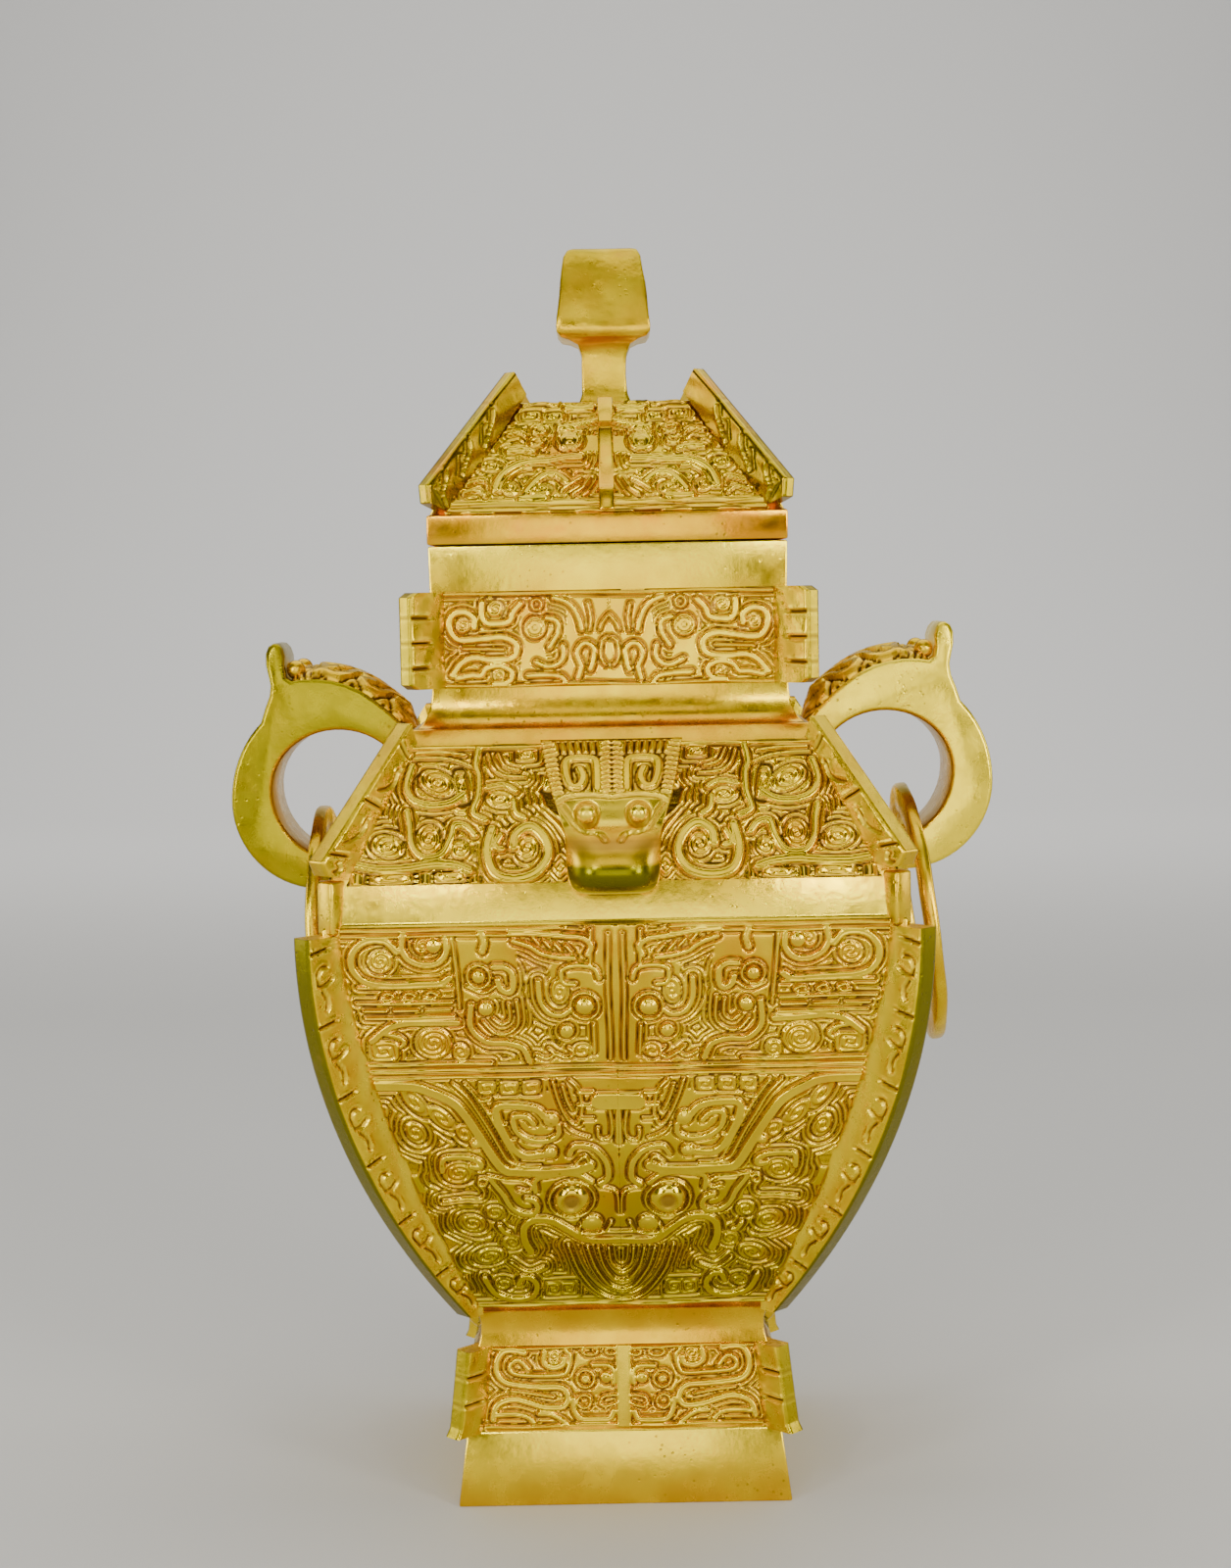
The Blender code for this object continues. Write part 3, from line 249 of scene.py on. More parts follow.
def build_gilding_and_painted_light():
    group = bpy.data.node_groups.new("GildingAndPaintedLight", "ShaderNodeTree")
    for name in TONES:
        group.interface.new_socket(name, in_out="INPUT", socket_type="NodeSocketFloat")
    for name, kind in (("Color", "Color"), ("Roughness", "Float"), ("Height", "Float")):
        group.interface.new_socket(name, in_out="OUTPUT", socket_type="NodeSocket" + kind)
    make = group.nodes.new
    source = make("NodeGroupInput").outputs
    target = make("NodeGroupOutput").inputs
    place = make("ShaderNodeTexCoord").outputs["Object"]

    def feed(value, socket):
        if hasattr(value, "is_linked"):
            wire(group, value, socket)
        else:
            socket.default_value = (*value, 1.0) if isinstance(value, tuple) else value

    def pattern(kind, scale, output, detail=None, stretch=None):
        node = make(kind)
        node.inputs["Scale"].default_value = scale
        if detail:
            node.inputs["Detail"].default_value = detail
        spread = place
        if stretch:
            warp = make("ShaderNodeMapping")
            warp.inputs["Scale"].default_value = stretch
            wire(group, place, warp.inputs["Vector"])
            spread = warp.outputs["Vector"]
        wire(group, spread, node.inputs["Vector"])
        return node.outputs[output]

    def noise(scale, detail, stretch=None):
        return pattern("ShaderNodeTexNoise", scale, "Fac", detail, stretch)

    def combine(operation, values):
        result = values[0]
        for value in values[1:]:
            node = make("ShaderNodeMath")
            node.operation = operation
            feed(result, node.inputs[0])
            feed(value, node.inputs[1])
            result = node.outputs[0]
        return result

    def times(*values):
        return combine("MULTIPLY", values)

    def plus(*values):
        return combine("ADD", values)

    def window(value, low, high):
        node = make("ShaderNodeMapRange")
        node.interpolation_type = "SMOOTHSTEP"
        node.inputs["From Min"].default_value = low
        node.inputs["From Max"].default_value = high
        wire(group, value, node.inputs["Value"])
        return node.outputs["Result"]

    def blend(mask, first, second):
        node = make("ShaderNodeMix")
        node.data_type = "RGBA"
        wire(group, mask, node.inputs["Factor"])
        feed(first, node.inputs[6])
        feed(second, node.inputs[7])
        return node.outputs[2]

    def kept(name):
        node = make("ShaderNodeAttribute")
        node.attribute_name = name
        return node.outputs["Fac"]

    cells = pattern("ShaderNodeTexVoronoi", 420, "Distance")
    pits = times(combine("SUBTRACT", (1.0, window(cells, 0.08, 0.20))), window(noise(60, 2), 0.50, 0.62))
    tint = blend(window(noise(90, 4), 0.35, 0.68), GOLD, YELLOW_GOLD)
    olive = times(window(noise(34, 5), 0.42, 0.66), source["Olive"])
    # Layers in order: random olive patches with painted olive shade, orange, copper in the grooves,
    # painted shade in the deepest grooves, painted highlight, painted shade, thin copper and pits.
    for mask, tone in (
        (plus(olive, times(kept("dull"), 0.8)), OLIVE_GOLD),
        (times(plus(window(noise(58, 5), 0.50, 0.72), kept("warm")), source["Orange"]), ORANGE_GOLD),
        (times(kept("groove"), window(noise(46, 3), 0.15, 0.55), source["Copper"]), COPPER),
        (times(window(kept("groove"), 0.34, 0.90), 0.94), DEEP_GROOVE_SHADE),
        (times(kept("crest"), 0.85), HIGHLIGHT_GOLD),
        (times(kept("shade"), 0.85), SHADED_GOLD),
        (times(window(noise(150, 6), 0.60, 0.74), source["Copper"], 0.3), THIN_COPPER),
        (times(pits, 0.45), PIT_BROWN),
    ):
        tint = blend(mask, tint, tone)
    wire(group, tint, target["Color"])
    rough = plus(times(noise(210, 5), 0.30), times(kept("groove"), 0.30),
                 times(source["Polish"], -0.2), 0.22)
    wire(group, rough, target["Roughness"])
    height = plus(times(noise(620, 5), 0.5), times(noise(160, 4), 0.9),
                  times(noise(900, 2, (1.0, 1.0, 0.06)), 0.12), times(pits, -0.8))
    wire(group, height, target["Height"])
    return group


GILDING_AND_PAINTED_LIGHT = build_gilding_and_painted_light()


# %% Finishes for the kinds of piece
def gilt(name, olive, orange, copper, polish, bump):
    """Gilt bronze whose tones suit one kind of piece."""
    finish = bpy.data.materials.new(name)
    finish.use_nodes = True
    tree = finish.node_tree
    shader = tree.nodes["Principled BSDF"].inputs
    shader["Metallic"].default_value = 1.0
    tones = tree.nodes.new("ShaderNodeGroup")
    tones.node_tree = GILDING_AND_PAINTED_LIGHT
    for key, value in zip(TONES, (olive, orange, copper, polish)):
        tones.inputs[key].default_value = value
    relief = tree.nodes.new("ShaderNodeBump")
    relief.inputs["Strength"].default_value = bump
    relief.inputs["Distance"].default_value = 0.6 * MM
    wire(tree, tones.outputs["Height"], relief.inputs["Height"])
    wire(tree, relief.outputs["Normal"], shader["Normal"])
    wire(tree, tones.outputs["Color"], shader["Base Color"])
    wire(tree, tones.outputs["Roughness"], shader["Roughness"])
    return finish


PLAIN_GILT = gilt("plain_gilt", 0.06, 0.35, 0.25, 0.6, 0.12)
CARVED_GILT = gilt("carved_gilt", 0.12, 0.55, 0.95, 0.9, 0.05)
FLANGE_GILT = gilt("flange_gilt", 0.3, 0.25, 0.5, 0.45, 0.25)
HANDLE_GILT = gilt("handle_gilt", 0.12, 0.2, 0.5, 0.4, 0.25)
HEAD_GILT = gilt("head_gilt", 0.1, 0.3, 0.8, 0.4, 0.08)
LID_GILT = gilt("lid_gilt", 0.15, 0.85, 0.9, 0.75, 0.08)
KNOB_GILT = gilt("knob_gilt", 0.55, 0.2, 0.7, 0.3, 0.35)
RING_GILT = gilt("ring_gilt", 0.45, 0.2, 0.5, 0.55, 0.10)
print("finishes:", len(bpy.data.materials))

# %% [markdown]
# ## The hollow core
# The bottle was cast hollow. Its outside is a run of square zones: foot, waist, belly, plain band,
# shoulder, cove, neck and rim. The core begins as one flat square, the floor inside. It is extruded
# up the inner wall, over the lip, down the outside and up into the hollow foot, which is how a
# square pot would be drawn round its own section. That leaves one closed shell with true walls.

# %% Heights and half widths, in millimetres
FOOT_BAND, WAIST, BELLY, REGISTER, BAND = 18.4, 39.8, 51.5, 116.1, 152.1
SHOULDER, COVE, NECK, RIM, MOUTH = 162.1, 194.1, 207.7, 231.3, 242.5
ROOF, LID_TOP = 250.0, 278.4
WALL, BORE = 4.0, 39.8
BELLY_LOW, BELLY_TOP, NECK_HALF = 40.0, 69.6, 43.8


def outside_points():
    points = [(42.3, 0.0), (39.9, FOOT_BAND), (39.1, FOOT_BAND + 0.8), (36.8, WAIST)]
    points += [(36.1, WAIST + 2.4), (36.0, 45.6), (36.6, BELLY - 2.6)]
    for share in np.linspace(0, 1, 25):
        swell = 1 - (1 - share) ** 1.55
        points.append((BELLY_LOW + (BELLY_TOP - BELLY_LOW) * swell, BELLY + (BAND - BELLY) * share))
    points += [(68.8, BAND + 0.8), (68.0, SHOULDER), (52.0, COVE)]
    for turn in np.linspace(0, QUARTER, 9):
        rise = 0.28 + 0.72 * (1 - math.cos(turn))
        points.append((NECK_HALF + 4.8 * (1 - math.sin(turn)), COVE + (NECK - COVE) * rise))
    return points + [(NECK_HALF, RIM), (44.0, MOUTH)]


OUTSIDE = outside_points()
OUT_HALF, OUT_Z = np.array(OUTSIDE).T


def half_at(height):
    return np.interp(height, OUT_Z, OUT_HALF)


# %% Draw the core from a flat square
def draw_square(name, half, height, levels):
    """Extrude a flat square from level to level, each (half width, height) in mm."""
    deselect()
    bpy.ops.mesh.primitive_plane_add(size=2 * half * MM, location=(0, 0, height * MM))
    piece = named(name)
    edit_all()
    for next_half, next_height in levels:
        extrude(0, next_height - height)
        share = next_half / half
        bpy.ops.transform.resize(value=(share, share, 1), center_override=(0, 0, next_height * MM))
        half, height = next_half, next_height
    leave_edit()
    settle(piece)
    return piece


inner = [(half - WALL, height) for half, height in OUTSIDE if BELLY + 8 < height < SHOULDER]
inner += [(62.6, SHOULDER + 1), (46.4, COVE), (BORE, COVE + 8), (BORE, MOUTH)]
under = [(38.3, 0.0), (32.8, WAIST), (32.0, BELLY)]
core = draw_square("body_core", 39.0, 56.0, inner + OUTSIDE[::-1] + under)
soften(core, 0.45, 2, 28)
smooth(core, 40)


def zone(height, low, high, fade=1.2):
    """1 between two heights, fading out past them."""
    return ramp(height, low - fade, low) * ramp(height, high + fade, high)


core_z = points_of(core)[:, 2]
core_warm = 0.9 * zone(core_z, COVE, 200) + 0.8 * zone(core_z, WAIST, 50, 3) + 0.5 * zone(core_z, -1, 1.5)
# Paler gold as a painted highlight on the plain band, the mouth band and the foot band.
core_highlight = zone(core_z, BAND + 1, SHOULDER - 1) + zone(core_z, RIM + 1, MOUTH)
core_highlight += 0.8 * zone(core_z, 1.5, FOOT_BAND)
paint(core, warm=core_warm, crest=core_highlight)
hand_over(core, PLAIN_GILT)

# %% [markdown]
# ## Relief panels
# Each zone between the flanges is a field of cast relief: smooth raised bands that curl into
# spirals, thin round threads beside them, eyes like beads, and a ground filled with parallel
# threads. A chaser would draw the bands first and let the ground lines follow them. The panel does
# the same: a grid is laid on the zone, each point measures how far it lies from the drawn bands,
# and that distance sets its height, so that the threads follow every curl on their own.


# %% Curves and distances on a flat register
def spline(points, steps=6):
    """Rounded path through the points."""
    points = np.asarray(points, dtype=float)
    if len(points) < 3:
        return points
    padded = np.vstack([points[0], points, points[-1]])
    t = (np.arange(steps) / steps)[:, None]
    path = []
    for before, here, after, beyond in zip(padded, padded[1:], padded[2:], padded[3:]):
        bend = (after - before) * t
        bend = bend + (2 * before - 5 * here + 4 * after - beyond) * t ** 2
        bend = bend + (3 * here - before - 3 * after + beyond) * t ** 3
        path.append(here + bend / 2)
    return np.vstack(path + [points[-1:]])


def wave(turns):
    """0 at whole turns and 1 halfway between them."""
    return 0.5 - 0.5 * np.cos(2 * math.pi * turns)


def rounded(crest):
    """Fill a wave out to a thread with a round back."""
    return 1 - (1 - crest) ** 1.35


class Carving:
    """Heights over a register laid flat: x out from the middle line and y up, in mm."""

    THREAD = 0.36
    GROUND = -0.18

    def __init__(self, x, y, reach_at, arc_at, pitch):
        self.x, self.y = x, y
        self.reach_at, self.arc_at = reach_at, arc_at
        self.pitch = pitch
        self.gap = np.full(x.shape, 5.0)
        self.whirl = np.full(x.shape, np.nan)
        self.dome, self.calm, self.dent = np.zeros((3, *x.shape))

    def spots(self, picks):
        """Percent of the panel's half and height to mm."""
        across, up = np.asarray(picks, dtype=float).T / 100
        return np.stack([across * self.reach_at(up), self.arc_at(up)], axis=1)

    def from_spot(self, pick_u, pick_v):
        """Where each point lies as seen from one spot."""
        centre = self.spots([(pick_u, pick_v)])[0]
        return self.x - centre[0], self.y - centre[1]

    def lift(self, path, half_width, margin):
        """Raise the points near a path. The ground's threads will follow its edge."""
        low = path.min(axis=0) - margin
        high = path.max(axis=0) + margin
        pick = (self.x > low[0]) & (self.x < high[0]) & (self.y > low[1]) & (self.y < high[1])
        x, y = self.x[pick], self.y[pick]
        best = np.full(x.shape, 1e6)
        for start, end in zip(path[:-1], path[1:]):
            run = end - start
            share = np.clip(((x - start[0]) * run[0] + (y - start[1]) * run[1]) / max(run @ run, 1e-9), 0, 1)
            away = (x - start[0] - share * run[0]) ** 2 + (y - start[1] - share * run[1]) ** 2
            best = np.minimum(best, away)
        self.gap[pick] = np.minimum(self.gap[pick], np.sqrt(best) - half_width)

    def band(self, picks, half_width):
        self.lift(spline(self.spots(picks)), half_width, half_width + 5)

    def thread(self, picks):
        self.band(picks, self.THREAD)

    def level(self, height, start, end):
        """A thread straight across."""
        self.thread([(start, height), (end, height)])

    def ring(self, pick_u, pick_v, radius, squash=1.0):
        """A thin raised ring."""
        turn = np.linspace(0, 2 * math.pi, 17)
        path = np.stack([np.cos(turn), squash * np.sin(turn)], axis=1) * radius
        self.lift(path + self.spots([(pick_u, pick_v)]), self.THREAD, 4)

    def bead(self, pick_u, pick_v, radius, rise=1.1, pupil=0.0):
        """A round boss, with a dent for a pupil where it is an eye."""
        away = np.hypot(*self.from_spot(pick_u, pick_v))
        self.gap = np.minimum(self.gap, away - radius - 0.15)
        inside = away < radius
        curve = np.sqrt(1 - (away[inside] / radius) ** 2)
        self.dome[inside] = np.maximum(self.dome[inside], 0.35 + rise * curve)
        if pupil:
            self.dent = np.maximum(self.dent, np.clip(2.2 - 2.2 * away / pupil, 0, 1))

    def whorl(self, pick_u, pick_v, wide, tall, tilt=0.0, corner=2.0, way=1):
        """A spiral of thread in an oval, or in a square when corner is large."""
        x, y = self.from_spot(pick_u, pick_v)
        cosine, sine = math.cos(math.radians(tilt)), math.sin(math.radians(tilt))
        across = (x * cosine + y * sine) / wide
        along = (y * cosine - x * sine) / tall
        size = (np.abs(across) ** corner + np.abs(along) ** corner) ** (1 / corner)
        radius = min(wide, tall)
        turn = np.arctan2(along, across) / (2 * math.pi) * way
        inside = size < 1
        self.whirl[inside] = wave(size * radius / self.pitch - turn + 0.1)[inside]
        self.gap = np.minimum(self.gap, np.maximum((size - 1) * radius, 0.02))

    def rest(self, picks):
        """An area whose ground stays smooth."""
        corners = self.spots(picks)
        inside = np.zeros(self.x.shape, dtype=bool)
        for start, end in zip(corners, np.roll(corners, -1, axis=0)):
            above = (start[1] > self.y) != (end[1] > self.y)
            cross = start[0] + (self.y - start[1]) * (end[0] - start[0]) / (end[1] - start[1] + 1e-9)
            inside ^= above & (self.x < cross)
        self.calm[inside] = 1

    def heights(self):
        """Blend bands, threads, spirals, beads and ground into one height, in mm."""
        gap = self.gap
        broken = np.tanh(4 * np.sin(self.x / 2.2 + 1.3 * np.sin(self.y / 5)) * np.sin(self.y / 1.9 + 0.4))
        trail = gap + 0.30 * broken * ramp(gap, 1.3, 1.9)
        ground = self.GROUND + 0.76 * rounded(wave((trail - 0.34) / self.pitch))
        calm = 0.48 - 0.60 * np.exp(-((gap - 0.30) / 0.30) ** 2)
        ground = ground * (1 - self.calm) + calm * self.calm
        swirl = ~np.isnan(self.whirl)
        ground[swirl] = self.GROUND + 0.82 * rounded(self.whirl[swirl])
        depth = ramp(-gap, 0, 0.30)
        crown = 0.10 * np.exp(-((gap + 0.30) / 0.22) ** 2)
        raised = 0.62 + 0.38 * depth * (2 - depth) + crown
        edge = ramp(gap, 0.12, -0.12)
        return np.maximum(ground * (1 - edge) + raised * edge, self.dome) - 0.8 * self.dent


# %% Lay a grid on a register and carve it
def carve_panel(name, low, high, margin, draw, side, step, pitch=1.2, span=(-1, 1),
                profile=(OUT_HALF, OUT_Z), strength=1.35):
    """A panel of relief on one side, between two heights and its corner flanges."""
    levels = np.linspace(low, high, 200)
    half = np.interp(levels, profile[1], profile[0])
    arc = distances(np.stack([half, levels], axis=1))
    share = (levels - low) / (high - low)
    inset = margin / ROOT2
    columns = int((span[1] - span[0]) * (half.max() - inset) / step)
    piece, grid, skirt = skirted_sheet(name, columns, int(arc[-1] / step))
    v = (grid[:, 1] + 1) / 2
    reach = np.interp(v, share, half) - inset
    y = np.interp(v, share, arc)
    signed = (span[0] + (span[1] - span[0]) * (grid[:, 0] + 1) / 2) * reach
    x = np.abs(signed) + 0.16 * np.sin(y / 4.3 + signed / 9.0 + side) + 0.10 * np.sin(signed / 3.1 + 2.0)
    drift = y + 0.16 * np.sin(signed / 4.9 + 0.7 * side) + 0.08 * np.sin(y / 2.7 + signed / 7.0)
    carving = Carving(
        x, drift,
        lambda at: np.interp(at, share, half) - inset,
        lambda at: np.interp(at, share, arc),
        pitch,
    )
    draw(carving)
    height = carving.heights() * strength * (0.94 + 0.06 * np.sin(signed / 6.1 + y / 8.3 + side))
    height[skirt] = -1.2
    out = reach + inset + height * np.interp(v, share, np.gradient(levels, arc))
    up = low + (high - low) * v - height * np.interp(v, share, np.gradient(half, arc))
    move_points(piece, np.stack([signed, -out, up], axis=1), side)
    # Copper in the grooves, with painted shade in the deepest; paler gold as a painted highlight on the
    # highest
    # relief; painted olive shade and painted shade low on the belly, and a little painted shade on the lid.
    paint(
        piece,
        groove=1 - ramp(height, -0.10, 0.38) + 0.5 * carving.dent,
        crest=0.45 * ramp(height, 0.95, 1.25) * (1 - np.clip(2 * carving.dent, 0, 1)),
        dull=0.75 * ramp(up, 118, 63) * ramp(up, 40, 48),
        shade=0.40 * ramp(up, 95, 60) * ramp(up, 46, 52) + 0.15 * (up > MOUTH),
    )
    settle(piece)
    smooth(piece)
    return piece


# %% [markdown]
# ## The great mask on the belly
# The lower belly carries a mask: two long horns that sweep out to the corners, C-shaped horns with
# a coil, round eyes with a copper pupil, a nose bridge with curled nostrils, a wide mouth and a
# tongue of nested chevrons. Places are in percent: across from the middle to the flange, then up
# the register. One half is drawn and the other mirrors it, with a slight drift so that no two sides
# are quite the same, as in hand-cut wax.


# %% Draw the great mask
def draw_great_mask(field):
    line, level, band = field.thread, field.level, field.band
    bead, ring, whorl, rest = field.bead, field.ring, field.whorl, field.rest
    for v in (98.4, 0.9):
        level(v, 0, 104)
    band([(100, 95.5), (85, 95), (78, 92.5), (70, 88), (66, 82.5), (63, 76), (60, 69), (57, 63), (54, 60),
          (50, 59.5), (40, 59), (30, 59), (20, 59.5), (14, 61)], 1.25)
    line([(68, 95.5), (63, 90), (60, 84), (57, 77), (54.5, 70), (52, 64.5), (47, 62), (38, 61.5)])
    line([(63, 95.5), (59, 90), (55.5, 83), (53, 76), (50.5, 69), (48, 64)])
    for u, v in ((57, 89), (54.5, 84), (52.5, 79), (50, 73)):
        line([(u - 3.5, v), (u + 1.5, v - 0.6)])
    band([(32, 82), (35, 85), (42, 86.5), (51, 86), (52, 80), (50, 73), (47, 68), (43, 66),
          (36, 66.5)], 1.0)
    band([(26, 78), (27, 74), (33, 72), (41, 73), (45.5, 77), (45, 82), (40, 82), (37, 79)], 0.75)
    bead(29, 80.5, 1.9)
    line([(23, 78), (20, 75), (13, 72.5)])
    band([(23, 66), (20, 69), (15, 69), (10, 67), (6, 62), (6, 56), (10, 53.5)], 0.8)
    line([(21, 62), (16, 65), (14, 62)])
    bead(32, 67, 1.7)
    bead(24.5, 47, 4.4, 2.2, 2.7)
    ring(24.5, 47, 5.6, 0.95)
    band([(42, 51), (41, 56), (33, 57.5), (25, 58), (19, 57), (14, 54)], 0.7)
    line([(10, 52), (4, 51), (1.5, 48), (1, 41)])
    bead(15, 36.5, 2.4, 1.2)
    line([(21, 36), (22, 33), (17, 32), (9, 33), (5, 37)])
    band([(0, 29.5), (18, 29.5), (28, 34), (36, 38), (45, 39), (52, 36), (54.5, 30), (53, 25)], 1.0)
    level(33, 0, 10)
    line([(30, 27), (27, 17), (20, 8.5), (10, 3.5), (0, 2.5)])
    line([(19, 26), (16, 17), (9, 9.5), (0, 7)])
    line([(13, 26), (11, 18), (6, 12.5), (0, 11)])
    line([(7, 26), (6, 19), (0, 15.5)])
    line([(63, 57.5), (55, 56), (47, 55.5), (43.5, 53), (45.5, 51), (50, 52)])
    band([(62, 56), (58, 50), (56, 45), (52, 42), (46, 41.5), (42.5, 44), (43.5, 47), (47, 48)], 0.75)
    band([(84, 60), (82, 64.5), (76, 65.5), (69, 65), (65, 63), (66, 61), (70, 61.5)], 0.75)
    whorl(77, 58.5, 3.9, 3.1)
    line([(90, 47), (78, 48), (70, 48), (67, 51), (69, 54)])
    bead(65, 71, 1.3)
    ring(66.5, 55, 1.1)
    whorl(65.5, 41.5, 2.5, 2.3)
    band([(65.5, 36), (64, 33.5), (62, 33)], 0.7)
    whorl(62, 28.5, 2.4, 2.2, way=-1)
    whorl(80, 37, 3.4, 2.6, 20)
    whorl(78, 22.5, 3.8, 2.5, -15)
    band([(86, 13), (84.5, 7), (77, 4), (67, 3.5), (59, 5.5), (55, 9.5), (57, 13), (62, 13.5),
          (66, 10.5)], 0.8)
    whorl(76, 10, 2.2, 1.9)
    line([(66, 20.5), (58, 16), (48, 18)])
    for u in (35, 45):
        whorl(u, 7.5, 2.3, 2.3, corner=6, way=-1)
    band([(0, 87.5), (8, 87.5)], 2.2)
    band([(0, 84), (0, 71)], 0.9)
    line([(4, 84), (3, 78), (3.5, 73), (7, 71.5), (9, 73), (9, 76.5)])
    for v in (91, 86, 80.5):
        level(v, 11, 17)
    line([(27, 96), (25, 88), (22, 81), (18, 78), (15.5, 84), (16.5, 92), (20, 96)])
    line([(23, 94), (21.5, 88), (19.5, 84)])
    for u in (36, 45, 54):
        whorl(u, 93.5, 2.0, 1.7, corner=6)
    whorl(86, 88.5, 4.6, 2.0, 52)
    whorl(77, 81.5, 4.2, 1.9, 48, way=-1)
    whorl(90, 76, 3.2, 2.2, 60)
    whorl(69, 75, 2.6, 1.8, 60)
    rest([(0, 33), (28, 33), (40, 42), (62, 44), (62, 57), (48, 63), (52, 88), (28, 92), (12, 70), (0, 70)])
    rest([(6, 96), (16, 96), (14, 70), (0, 70), (0, 96)])


MASK_ROW = ("great_mask", BELLY, REGISTER, 6.0, draw_great_mask)
FINE_STEP, COARSE_STEP, COARSE_PITCH = 0.31, 0.82, 2.0
for half_name, span in (("left", (-1, 0)), ("right", (0, 1))):
    panel = carve_panel("great_mask_front_" + half_name, *MASK_ROW[1:], 0, FINE_STEP, span=span)
    hand_over(panel, CARVED_GILT)

# %% [markdown]
# ## The small masks, the beasts and the dragons
# Above the great mask runs a register with a small mask on a nose rib and a beast on each side.
# The shoulder has curled beasts beside an animal head. Neck and foot carry pairs of dragons whose
# bodies bend like an S. The same carving tools draw them, with other bands and coils.


# %% Draw the upper belly register
def draw_small_masks(field):
    line, level, band = field.thread, field.level, field.band
    bead, ring, whorl, rest = field.bead, field.ring, field.whorl, field.rest
    for v in (98.5, 94.8):
        level(v, 20, 104)
    for v in (2.2, 6.6):
        level(v, 50, 104)
    level(2.2, 0, 50)
    line([(3.0, 8), (3.0, 94)])
    line([(9.2, 72), (9.2, 97)])
    line([(9.2, 12), (9.2, 32)])
    band([(6, 64), (8, 71), (14, 73), (19, 71), (20, 66), (19, 61), (15, 60)], 0.6)
    bead(12, 45, 2.1, 1.2)
    ring(12, 45, 3.4)
    bead(19.5, 28, 1.6, 1.0)
    band([(38, 97), (28, 95), (18, 92.5), (12, 91), (9, 86), (10, 80)], 0.75)
    band([(37, 91), (31, 87), (27, 82), (21, 79), (15, 78)], 0.65)
    for u, v in ((30, 91), (26, 88.5), (22, 86), (18, 84.5)):
        line([(u, v + 2), (u - 2.5, v - 3)])
    whorl(21, 55, 2.3, 3.2)
    band([(29, 63), (29, 50), (26, 41), (21, 39), (18, 42)], 0.7)
    bead(51, 66.5, 1.5, 1.0)
    ring(51, 66.5, 2.8)
    line([(45, 60), (50, 55.5), (56, 60)])
    bead(49.5, 45, 1.7)
    band([(48.5, 97), (47.5, 90), (48.5, 84)], 0.9)
    band([(45, 73), (41, 73), (38.5, 69), (38.5, 61), (40, 56), (43, 58), (44, 64)], 0.8)
    line([(38, 50), (38, 35), (42, 28), (47, 28), (51, 36)])
    line([(41, 48), (41, 38), (44, 34), (47, 38)])
    band([(55, 47), (56, 32), (51, 22), (43, 21), (37, 17), (35, 8)], 0.8)
    line([(59.5, 93), (59.5, 45)])
    whorl(86.5, 78.5, 3.0, 2.8)
    band([(80, 85), (84, 92), (91, 92), (96, 85), (97, 75), (94.5, 67), (90, 63.5), (84, 62.5),
          (75, 62.5), (66, 62.5), (62, 66)], 0.9)
    band([(77, 97), (78, 87), (75.5, 79), (70, 75), (65, 77), (62, 84), (62, 92)], 0.85)
    bead(66.5, 88, 1.7)
    whorl(70.5, 88, 2.0, 2.2)
    level(60.5, 96, 62)
    for u in (85, 77, 69):
        line([(u + 3, 53), (u, 52.5), (u - 2, 55), (u + 0.5, 57), (u + 2, 55.5)])
    level(49.5, 98, 62)
    for u in (92, 80, 68):
        level(44.5, u + 4, u - 5)
    level(39.5, 96, 62)
    band([(61, 35), (72, 35.5), (80, 36), (88, 33), (96, 24)], 0.9)
    whorl(72, 21, 4.4, 4.0)
    whorl(92.5, 16.5, 3.6, 2.6, corner=5)
    band([(90, 29), (85, 27), (83, 23), (85, 20)], 0.6)
    whorl(62, 14, 2.0, 2.2, way=-1)
    for u in (20, 28):
        line([(u + 4, 12), (u, 9), (u - 3, 12), (u - 1, 16)])
    whorl(14, 14, 2.2, 1.9)
    rest([(0, 0), (9, 0), (9, 100), (0, 100)])
    rest([(9, 38), (24, 38), (24, 74), (9, 74)])
    rest([(36, 52), (60, 52), (60, 95), (36, 92)])


